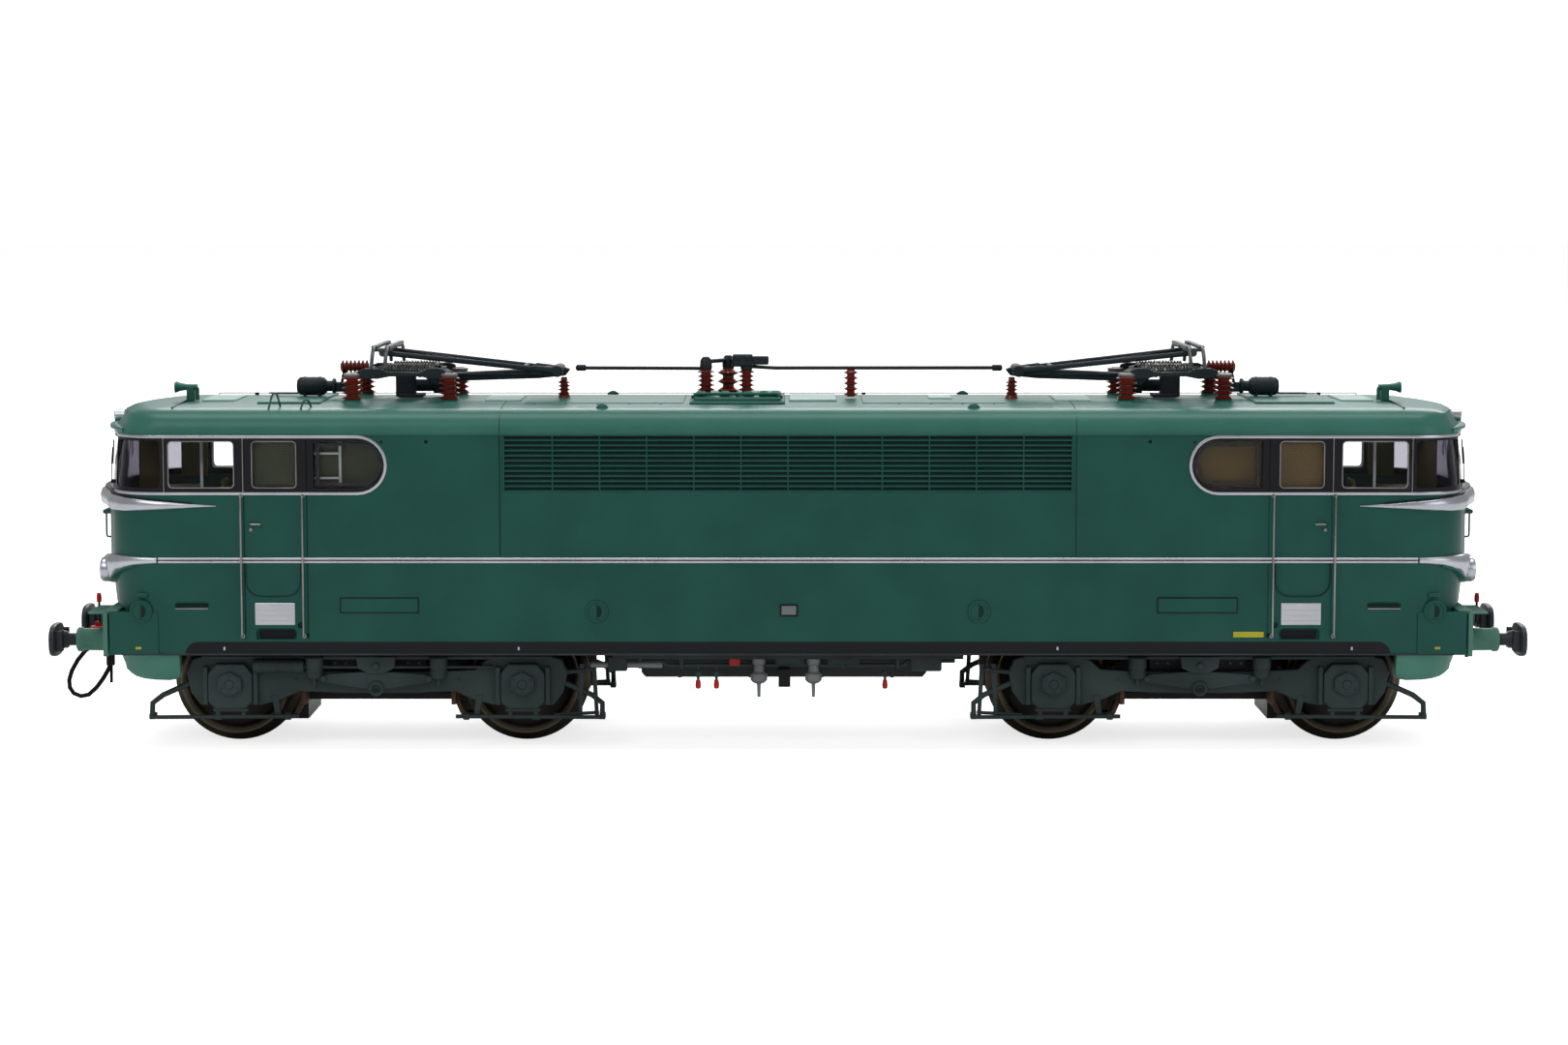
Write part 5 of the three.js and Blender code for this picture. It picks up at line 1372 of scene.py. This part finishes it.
def wheelsets():
    """Disc wheels with a bright tyre, on their axle with the drive gear between them."""
    tread, flange, back, face = 7.1, 8.1, 7.2, 10.0
    disc_profile = [(0.9, back + 0.35), (5.9, back + 0.35), (5.9, face - 0.35), (5.5, face - 0.5),
                    (4.4, face - 0.62),
                    (2.3, face - 0.5), (1.9, face - 0.1), (1.4, face + 0.1), (0.9, face + 0.1)]
    centre = (OUTER_AXLE, 0, AXLE_Z)
    tyre = turned("tyre", [(5.8, back), (flange - 0.25, back), (flange, back + 0.25), (flange, back + 0.4),
                           (tread + 0.15, back + 0.85),
                           (tread + 0.02, back + 1.05), (tread - 0.1, face - 0.12), (tread - 0.2, face),
                           (6.3, face), (6.05, face - 0.15),
                           (5.8, face - 0.3), (5.8, back)], "y", centre, 64)
    rim = turned("rim", [(6.72, face - 0.1), (6.72, face + 0.03), (6.86, face + 0.03), (6.86, face - 0.1),
                         (6.72, face - 0.1)], "y", centre, 64)
    web = turned("web", disc_profile + [(0.9, back + 0.35)], "y", centre, 48)
    axle = turned("axle", [(0, -11.5), (0.75, -11.5), (0.88, -11.3), (0.88, 11.3), (0.75, 11.5), (0, 11.5)],
                  "y", centre, 24)
    tyres = joined("tyres", tyre, mirrored(tyre, "tyre", y=-1))
    rims = joined("rims", rim, mirrored(rim, "rim", y=-1))
    webs = joined("webs", web, mirrored(web, "web", y=-1), axle)
    gear_points = []
    teeth, tip, root = 22, 4.4, 3.9
    for i in range(teeth):
        for radius, share in ((root, 0), (tip, 0.25), (tip, 0.5), (root, 0.75)):
            angle = (i + share) / teeth * math.tau
            gear_points.append((OUTER_AXLE + radius * math.cos(angle), AXLE_Z + radius * math.sin(angle)))
    gear = traced("gear", gear_points, (-1.35, 1.35), edge=0)
    for end_name in ("b", "a"):
        for place, axle_x in (("outer", OUTER_AXLE), ("inner", INNER_AXLE)):
            sign = 1 if end_name == "b" else -1
            move = Matrix.Translation(Vector((sign * axle_x - OUTER_AXLE, 0, 0)) * MM)
            body = f"wheelset_{end_name}_{place}"
            dress(placed(tyres, f"tyres_{end_name}_{place}", move), TREAD, body)
            dress(placed(rims, f"wheel_rims_{end_name}_{place}", move), RIM, body)
            dress(placed(gear, f"axle_gear_{end_name}_{place}", move), ACETAL, body)
            dress(placed(webs, f"wheel_discs_{end_name}_{place}", move), WHEEL, body, [body])
    for piece in (tyres, rims, webs, gear):
        bpy.data.objects.remove(piece)


# ---------------------------------------------------------------- underframe


def underframe():
    y = -13.6
    tank = [turned("tank", [(0, -18.6), (2.2, -18.6), (2.75, -18.1), (2.75, 17.1), (2.2, 17.6), (0, 17.6)],
                   "x", (0, sy * 8.4, 10.9), 28)
            for sy in (-1, 1)]
    tank += [disc("strap", 2.85, "x", (x, x + 0.5), (0, sy * 8.4, 10.9), 28, 0.08) for x in (-14, -5, 4,
            13) for sy in (-1, 1)]
    tank.append(block("plate", (-22, 22), (-15, 15), (11.3, 12.05), 0.1))
    tank.append(block("keel", (-17.5, 16.5), (-5.6, 5.6), (8.4, 11.5), 0.3))
    dress(joined("underframe_tanks", tank), TANK, replaces=["underframe_gear"])
    parts = []
    parts.append(pipe("run", bent([(-21, y, 10.9), (-15.6, y, 10.9), (-15.2, y, 10.4), (14.6, y, 10.4),
                                   (15, y, 10.9), (21, y, 10.9)], 0.25), 0.24))
    parts.append(pipe("run", [(-14, y + 0.9, 10.9), (14, y + 0.9, 10.9)], 0.2, 6))
    for x in (-18.6, -13.4, 6.9, 13.8):
        parts.append(block("hanger", (x - 0.22, x + 0.22), (y - 0.4, y + 0.8), (10.0, 11.9), 0.06))
    for x0, x1 in ((-1.5, 2), (5, 9)):
        parts.append(block("plate", (x0, x1), (y - 0.75, y - 0.45), (10.6, 12.0), 0.05))
        parts += [disc("rivet", 0.13, "y", (y - 0.87, y - 0.7), (x, 0, z), 8, 0.03)
                  for x in (x0 + 0.35, (x0 + x1) / 2, x1 - 0.35) for z in (10.9, 11.6)]
    parts.append(block("box", (15.4, 19.3), (y - 1.0, y + 1.0), (9.7, 11.8), 0.25, 3))
    parts.append(block("lid", (15.8, 18.9), (y - 1.12, y - 0.9), (10.0, 11.4), 0.1))
    parts.append(block("box", (-22.6, -20.2), (y - 0.8, y + 0.9), (9.7, 11.6), 0.2, 3))
    for x in (-11.3, -9.0, 12.2):
        parts.append(pipe("stem", [(x, y, 10.6), (x, y, 8.4)], 0.18, 8))
        parts.append(disc("body", 0.42, "z", (8.9, 9.7), (x, y, 0), 10))
    dress(both_flanks("underframe_cleats", block("cleat", (-1.2, 0.3), (y - 0.8, y + 0.8), (7.7, 10.0), 0.1)),
          BLACK)
    dress(both_flanks("underframe_pipework", parts), SLATE)
    tips = [turned("tip", [(0, 7.35), (0.3, 7.45), (0.36, 7.9), (0.28, 8.5), (0, 8.6)], "z", (x, y, 0),
                   12) for x in (-11.3, -9.0, 12.2)]
    tips.append(block("red", (-7.4, -6.0), (y - 0.7, y + 0.5), (10.4, 11.7), 0.2))
    dress(both_flanks("red_drain_cocks", tips), RED)
    bars = [pipe("bar", [(-24.8, y - 0.1, 10.45), (-15.8, y - 0.1, 10.45)], 0.42, 12)]
    for x in (-3.66, 3.2):
        bars.append(turned("valve", [(0, 6.3), (0.2, 6.35), (0.25, 8.0), (0.75, 8.2), (1.05, 8.5), (1.05, 9.3),
                                     (0.7, 9.6), (0.62, 10.4),
                                     (0.85, 10.6), (0.85, 11.4), (0, 11.5)], "z", (x, y, 0), 20))
    dress(both_flanks("underframe_valves", bars), VALVE_GREY)


# ---------------------------------------------------------------- roof equipment


def shed_insulator(x, y, z0, z1, sheds, radius, axis="z"):
    """Ribbed insulator between two places along its axis."""
    core = radius * 0.55
    pitch = (z1 - z0) / sheds
    profile = [(0, z0), (core, z0)]
    for i in range(sheds):
        low = z0 + i * pitch
        profile += [(core, low + pitch * 0.12), (radius * 0.95, low + pitch * 0.34),
                    (radius, low + pitch * 0.48),
                    (radius * 0.9, low + pitch * 0.58), (core, low + pitch * 0.85)]
    profile += [(core, z1), (0, z1)]
    return turned("insulator", profile, axis, (x, y, 0) if axis == "z" else (0, x, y), 24)


def pantograph_base():
    brown, caps, feet = [], [], []
    for x in (55.2, 42.9):
        for y in (-7, 7):
            brown.append(shed_insulator(x, y, 43.35, 46.5, 5, 1.35))
            caps.append(turned("cap", [(0, 46.3), (0.95, 46.3), (1.1, 46.45), (1.1, 46.7), (0.8, 46.8),
                                       (0, 46.8)], "z", (x, y, 0), 20))
            feet.append(turned("foot", [(0, 42.2), (1.6, 42.2), (1.55, 42.9), (1.1, 43.3), (1.0, 43.5),
                                        (0, 43.5)], "z", (x, y, 0), 20))
    brown.append(shed_insulator(-1.5, 47.3, 53.75, 57.35, 7, 0.92, "x"))
    brown = joined("pantograph_insulators_b", brown)
    dress(mirrored(brown, "pantograph_insulators_a", x=-1), INSULATOR)
    dress(brown, INSULATOR)
    caps = joined("insulator_caps", caps)
    dress(joined("insulator_caps", caps, mirrored(caps, "cap", x=-1)), VALVE_GREY)
    feet = joined("insulator_feet", feet)
    dress(joined("insulator_feet", feet, mirrored(feet, "foot", x=-1)), ROOF_GREEN)
    beam = [(43.3, 46.5), (43.5, 47.2), (44.3, 47.45), (45.6, 47.4), (46.6, 46.9), (50.6, 46.9), (51.8, 47.35),
            (53.6, 47.4),
            (54.4, 47.1), (54.5, 46.4), (53.6, 46.1), (52, 46.05), (50.4, 46.35), (46.6, 46.35), (45.2, 46.05),
            (43.8, 46.1)]
    parts = [traced("beam", beam, (y - 0.5, y + 0.5), edge=0.12, segments=2) for y in (-7, 7)]
    parts += [block("lug", (x0, x1), (y - 0.45, y + 0.45), (46.55, 46.85), 0.08) for x0,
              x1 in ((54.2, 55.7), (42.4, 43.7)) for y in (-7, 7)]
    parts += [pipe("tie", [(54, -7, 46.6), (54, 7, 46.6)], 0.4),
              pipe("tie", [(46.6, -7, 46.6), (46.6, 7, 46.6)], 0.4)]
    parts.append(block("spine", (46, 54), (-0.8, 0.8), (46.35, 46.9), 0.12))
    for sy in (-1, 1):
        bracket = [(43.4, 45.1), (45.2, 45.0), (46.7, 46.2), (46.7, 46.9), (44.2, 46.9), (43.4, 46.5)]
        parts.append(traced("bracket", bracket, (sy * 2.0, sy * 2.75), edge=0.08))
        parts.append(disc("pivot", 0.6, "y", (sy * 2.4 - 0.55, sy * 2.4 + 0.55), (44.3, 0, 45.9), 16))
    parts.append(block("post", (47.9, 50.4), (-1.1, 1.1), (43.35, 46.6), 0.25, 2))
    parts.append(block("post_foot", (46.8, 50.0), (-1.7, 1.7), (43.35, 43.8), 0.12))
    parts.append(block("mechanism", (43.9, 46.0), (3.0, 5.4), (43.6, 46.0), 0.3, 3))
    parts.append(disc("cylinder", 0.8, "x", (44.3, 50.4), (0, 4.2, 44.6), 20, 0.15))
    base = joined("pantograph_frame_b", parts)
    other = mirrored(base, "pantograph_frame_a", x=-1)
    dress(base, PANTO, replaces=["pantograph_base_b"])
    dress(other, PANTO, replaces=["pantograph_base_a"])
    springs = []
    for y in (-3.7, 3.7):
        springs.append(coil("spring", 47.3, y, 45.2, 51.2, 0.5, 0.13, 16, "x"))
        springs.append(pipe("hook", [(51.1, y, 47.3), (52.0, y, 47.3), (54.0, y, 46.8)], 0.13, 6))
        springs.append(pipe("hook", [(45.3, y, 47.3), (44.9, y, 47.2), (44.7, y, 46.9)], 0.13, 6))
        springs.append(block("anchor", (44.3, 45.0), (y - 0.35, y + 0.35), (46.5, 47.1), 0.08))
    springs = joined("pantograph_springs_b", springs)
    dress(mirrored(springs, "pantograph_springs_a", x=-1), STEEL)
    dress(springs, STEEL)


def ride_both(near_b, names, finish_of, body_stem, node_stem):
    """Dresses a piece of end b and its mirror image at end a, each riding on its own end's body."""
    other = mirrored(near_b, f"{names}_a", x=-1)
    near_b.name = near_b.data.name = f"{names}_b"
    for piece, end_name in ((near_b, "b"), (other, "a")):
        dress(piece, finish_of, f"{body_stem}_{end_name}",
              [f"{node_stem}_{end_name}"] if node_stem else [])


def pantograph_arms():
    lower = [disc("hub", 0.95, "y", (-1.7, 1.7), (44.3, 0, 45.9), 24, 0.12),
             disc("knuckle", 0.78, "y", (-1.8, 1.8), (29.5, 0, 46.8), 22, 0.1)]
    casting = [(44.3, 45.35), (44.4, 46.45), (33.0, 47.0), (29.6, 47.5), (27.95, 46.95), (28.6, 46.1),
               (32.0, 45.75)]
    lower.append(traced("casting", casting, (-0.62, 0.62), edge=0.25, segments=3))
    lower.append(block("rib", (31.5, 42.5), (-0.85, 0.85), (46.1, 46.45), 0.12))
    lower.append(disc("cap", 0.45, "y", (-2.0, 2.0), (29.5, 0, 46.8), 16))
    ride_both(joined("lower", lower), "lower_arm_shape", PANTO, "panto_lower",
              "pantograph_lower_arm")
    upper = []
    for sy in (-1, 1):
        upper.append(pipe("tube", [(29.5, sy * 2.8, 46.8), (51.4, sy * 4.6, 49.2)], 0.36, 14))
        upper.append(disc("eye", 0.75, "y", (min(sy * 2.2, sy * 3.35), max(sy * 2.2, sy * 3.35)),
                          (29.5, 0, 46.8), 20, 0.1))
        upper.append(pipe("sleeve", [(29.9, sy * 2.84, 46.84), (32.6, sy * 3.06, 47.14)], 0.5, 14))
    upper.append(pipe("tie", [(33.7, -3.1, 47.3), (33.7, 3.1, 47.3)], 0.34, 12))
    upper.append(pipe("brace", [(34.0, -3.1, 47.35), (48.6, 4.3, 48.9)], 0.13, 6))
    upper.append(pipe("spindle", [(51.4, -4.9, 49.2), (51.4, 4.9, 49.2)], 0.38, 12))
    ride_both(joined("upper", upper), "upper_arm_shape", PANTO, "panto_upper",
              "pantograph_upper_arm")
    head, top = [], 50.28
    for x in (50.6, 52.3):
        head.append(block("strip", (x - 0.34, x + 0.34), (-7.9, 7.9), (top - 0.42, top), 0.1))
        for sy in (-1, 1):
            horn = [(x, sy * 7.7, top - 0.22), (x, sy * 8.7, top - 0.45), (x, sy * 9.6, top - 1.0),
                    (x, sy * 10.3, top - 1.8),
                    (x, sy * 10.9, top - 2.8)]
            head.append(pipe("horn", horn, 0.24, 8))
    for sy in (-1, 1):
        for y in (sy * 6.0, sy * 7.6):
            head.append(block("bar", (50.5, 52.4), (y - 0.25, y + 0.25), (top - 0.75, top - 0.35), 0.08))
        head.append(block("stem", (51.0, 51.8), (sy * 6 - 0.28, sy * 6 + 0.28), (49.0, top - 0.4), 0.08))
        head.append(disc("eye", 0.5, "y", (min(sy * 5.0, sy * 6.3), max(sy * 5.0, sy * 6.3)), (51.4, 0, 49.3),
                         14, 0.06))
    ride_both(joined("head", head), "head_shape", HEAD_GREY, "panto_head",
              "pantograph_head")


DRUM_Z = 44.75


def roof_gear():
    rests = [shed_insulator(28.8, 0, 43.6, 45.5, 4, 0.85)]
    rests.append(turned("cone", [(0, 43.0), (0.95, 43.0), (0.6, 43.7), (0, 43.7)], "z", (28.8, 0, 0), 18))
    rests.append(block("cradle", (28.4, 29.2), (-0.8, 0.8), (45.4, 45.9), 0.1))
    rest = joined("arm_rest_shape_b", rests)
    other = mirrored(rest, "arm_rest_shape_a", x=-1)
    dress(rest, INSULATOR, replaces=["arm_rest_b"])
    dress(other, INSULATOR, replaces=["arm_rest_a"])
    plate = [crowned("plate", -12.43, -0.4, -9.6, 7.4, 0.35, 0.15),
             crowned("rim", -11.9, -0.9, -8.6, 6.6, 0.75, 0.15)]
    plate += [turned("hump", [(0, 44.5), (0.45, 44.45), (0.7, 44.2), (0.75, 43.3), (0, 43.3)], "z",
                     (x, -6.2, 0), 18)
              for x in (-11, -8, -5, -3, -1.6)]
    plate += [disc("bolt", 0.25, "z", (43.5, 44.0), (x, -6.9, 0), 6, 0.05) for x in (-12, -6.4, -0.9)]
    plate += [pipe("air_line", bent([(-11.8, -7.2, 43.6), (-11.8, -7.2, 44.15), (-1.2, -7.2, 44.15),
                                     (-1.2, -7.2, 43.6)], 0.3), 0.2)]
    dress(joined("breaker_plate", plate), DEEP_GREEN, replaces=["breaker_base"])
    brown = [shed_insulator(-10.5, -2, 43.6, 47.0, 6, 1.15), shed_insulator(-7.7, 2, 43.6, 47.0, 3, 1.35),
             shed_insulator(-5.3, -2, 43.6, 47.0, 6, 1.05)]
    dress(joined("breaker_insulators", brown), INSULATOR, replaces=["breaker_unit"])
    heads = [turned("head", [(0, 46.9), (0.7, 46.9), (0.8, 47.2), (0.72, 48.2), (0.4, 48.6), (0, 48.65)], "z",
                    (x, y, 0), 18)
             for x, y in ((-10.5, -2), (-7.7, 2), (-5.3, -2))]
    heads += [pipe("rod", [(-10.5, -2, 48), (-7.7, 2, 48)], 0.28),
              pipe("rod", [(-7.7, 2, 48), (-5.3, -2, 48)], 0.28)]
    heads += [block("box", (-7.1, -4.5), (-2.9, -1.1), (47.35, 48.95), 0.25, 3),
              block("contact", (-4.6, -2.45), (-2.7, -1.3), (47.6, 48.7), 0.2),
              disc("bolt", 0.3, "y", (-3.1, -2.8), (-6.4, 0, 48.5), 8),
              disc("bolt", 0.3, "y", (-3.1, -2.8), (-5.2, 0, 48.5), 8)]
    dress(joined("breaker_heads", heads), PANTO)
    wires = [pipe("bar", [(-10.5, -2, 47.1), (-12.4, -1.3, 47.1), (-27.3, 0, 47.08)], 0.24),
             pipe("bar", [(-1.6, -0.6, 47.1), (27.6, 0, 47.1)], 0.24),
             pipe("bar", [(-5.3, -2, 47.4), (-1.6, -0.6, 47.1)], 0.24)]
    wires += [disc("clamp", 0.42, "x", (x - 0.6, x + 0.6), (0, 0, 47.1), 12) for x in (-26.6, 26.9)]
    dress(joined("roof_busbars", wires), PANTO, replaces=["busbar"])
    dress(shed_insulator(8.1, -0.25, 43.4, 46.9, 5, 0.92), INSULATOR).name = "busbar_insulator"
    horn = [turned("trumpet", [(0, 75.7), (0.34, 75.7), (0.38, 77.0), (0.5, 77.8), (0.74, 78.38), (0.62, 78.4),
                               (0.36, 77.8), (0, 77.5)], "x",
                   (0, y, 44.75), 24) for y in (-3.0, -1.9)]
    horn.append(pipe("feed", bent([(75.9, -3, 44.75), (75.5, -3, 44.75), (75.5, -3, 43.1)], 0.3), 0.22))
    horn.append(block("stand", (75.9, 76.9), (-3.4, -1.6), (43.0, 44.9), 0.15))
    horn = joined("horn_shape_b", horn)
    other = mirrored(horn, "horn_shape_a", x=-1)
    dress(horn, DEEP_GREEN, replaces=["horn_b"])
    dress(other, DEEP_GREEN, replaces=["horn_a"])
    line = pipe("line", [(76.8, -3.6, 43.1), (76.8, -9, 43.0), (76.8, -14.2, 42.78)], 0.13, 8)
    dress(joined("horn_air_lines", line, mirrored(line, "line", x=-1)), BLACK)
    drum = [turned("drum", [(0, 59.3), (0.8, 59.35), (1.15, 59.7), (1.2, 60), (1.2, 62.4), (1.15, 62.8),
                            (0.8, 63.15), (0, 63.2)], "x",
                   (0, 0, DRUM_Z), 24)]
    drum += [disc("strap", 1.24, "x", (x, x + 0.3), (0, 0, DRUM_Z), 24, 0.04) for x in (60.1, 62.0)]
    drum += [block("foot", (x, x + 0.3), (-0.9, 0.9), (43.2, 44.2), 0.06) for x in (60.1, 62.0)]
    drum += [disc("neck", 0.7, "x", (58.6, 59.4), (0, 0, DRUM_Z), 18),
             disc("flange", 1.0, "x", (58.2, 58.6), (0, 0, DRUM_Z), 18),
             block("crank", (56.7, 58.3), (-0.7, 0.5), (44.0, 45.3), 0.25, 3),
             pipe("link", [(57.4, -0.6, 44.9), (57.1, -1.0, 46.2), (56.6, -1.4, 46.9)], 0.2),
             block("strip", (63.0, 66.8), (-0.5, 0.5), (43.75, 43.95), 0.06)]
    drum = joined("air_drum_b", drum)
    other = mirrored(drum, "air_drum_a", x=-1)
    dress(drum, PANTO, replaces=["air_tank_b"])
    dress(other, PANTO, replaces=["air_tank_a"])


# ---------------------------------------------------------------- carried-over inside parts


def dress_inside_parts():
    """Finishes for the frame's own inside parts and those that stay hidden behind shaped pieces."""
    by_start = (("chassis_frame", CAST), ("bogie_frame", DARK_CAST), ("motor_can", STEEL),
                ("motor_shaft", BRASS),
                ("circuit_board", BOARD), ("cardan_shaft", ACETAL), ("worm_gear", ACETAL), ("worm", BRASS),
                ("idler_gear", ACETAL),
                ("keeper_plate", ACETAL), ("roof_cover", ROOF_GREEN), ("body_shell", BODY),
                ("cab_glazing", GLASS),
                ("cab_interior", OLIVE), ("nose_trim", SILVER), ("buffer", BUFFER_BLACK),
                ("brake_hose", RUBBER),
                ("wheelset", WHEEL), ("side_frame", SLATE), ("underframe", TANK), ("pantograph", PANTO),
                ("arm_rest", INSULATOR),
                ("breaker_unit", INSULATOR), ("busbar", STEEL), ("air_tank", PANTO))
    for piece in CAD_PIECES:
        chosen = next((material for start, material in by_start if piece.name.startswith(start)), CHASSIS_GREEN)
        piece.data.materials.clear()
        piece.data.materials.append(chosen)


# ---------------------------------------------------------------- stage


def aimed(piece, target):
    direction = Vector(target) - piece.location
    piece.rotation_euler = direction.to_track_quat("-Z", "Y").to_euler()


def softbox(name, place, size, power, target=(0, 0, 0.02)):
    clear_selection()
    bpy.ops.object.light_add(type="AREA", location=place)
    lamp = bpy.context.object
    lamp.name = name
    lamp.data.shape = "RECTANGLE"
    lamp.data.size, lamp.data.size_y = size
    lamp.data.energy = power
    aimed(lamp, target)


def seen_brighter(nodes, links, strength, plain, seen):
    """Feeds a strength that differs for what the eye sees and for what lights the object."""
    rays = nodes.new("ShaderNodeLightPath")
    mix = nodes.new("ShaderNodeMix")
    mix.inputs["A"].default_value = plain
    mix.inputs["B"].default_value = seen
    through = math_node(nodes, links, "MAXIMUM", rays.outputs["Is Camera Ray"],
                        rays.outputs["Is Transmission Ray"])
    links.new(through, mix.inputs["Factor"])
    links.new(mix.outputs["Result"], strength)


def studio():
    clear_selection()
    bpy.ops.mesh.primitive_plane_add(size=8, location=(0, 0, 0))
    floor = added("studio_floor")
    white = finish("studio_white", (0.8, 0.8, 0.8), (0.78, 0.78, 0.78), 0.8, bump=0.0)
    shader = white.node_tree.nodes["Principled BSDF"]
    shader.inputs["Emission Color"].default_value = (1, 1, 1, 1)
    seen_brighter(white.node_tree.nodes, white.node_tree.links, shader.inputs["Emission Strength"], 0.0, 0.75)
    floor.data.materials.append(white)
    world = bpy.data.worlds.new("studio_air")
    world.use_nodes = True
    background = world.node_tree.nodes["Background"]
    background.inputs["Color"].default_value = (1, 1, 1, 1)
    seen_brighter(world.node_tree.nodes, world.node_tree.links, background.inputs["Strength"], 0.3, 1.1)
    bpy.context.scene.world = world
    bpy.context.scene.view_settings.view_transform = "Standard"
    softbox("key_light", (-0.45, -0.7, 0.7), (0.6, 0.4), 2.0)
    softbox("fill_light", (0.7, -0.55, 0.3), (0.5, 0.4), 0.9)
    softbox("top_light", (0.0, 0.05, 0.9), (1.1, 0.4), 5)
    softbox("back_light", (0.1, 0.8, 0.5), (0.8, 0.4), 4)
    bpy.ops.object.camera_add(location=(-0.0005, -0.4362, 0.07009))
    camera = bpy.context.object
    camera.name = "studio_camera"
    camera.rotation_euler = (math.pi / 2 - 0.0983, 0, 0)
    camera.data.lens = 77.83
    camera.data.sensor_width = 36
    camera.data.clip_start = 0.01
    bpy.context.scene.camera = camera


# ---------------------------------------------------------------- everything together


def build():
    body_shell()
    louvre_panels()
    window_band_line()
    nose_trims()
    belts()
    sole_edges()
    windows()
    window_frames()
    door_furniture()
    raised_contours()
    covers_and_plates()
    nose_fittings()
    cab_interiors()
    cab_uprights()
    roof_cover()
    roof_panels()
    grab_hoops()
    end_beams()
    buffers()
    brake_hose()
    side_frames()
    wheelsets()
    underframe()
    pantograph_base()
    pantograph_arms()
    roof_gear()
    dress_inside_parts()
    studio()


build()
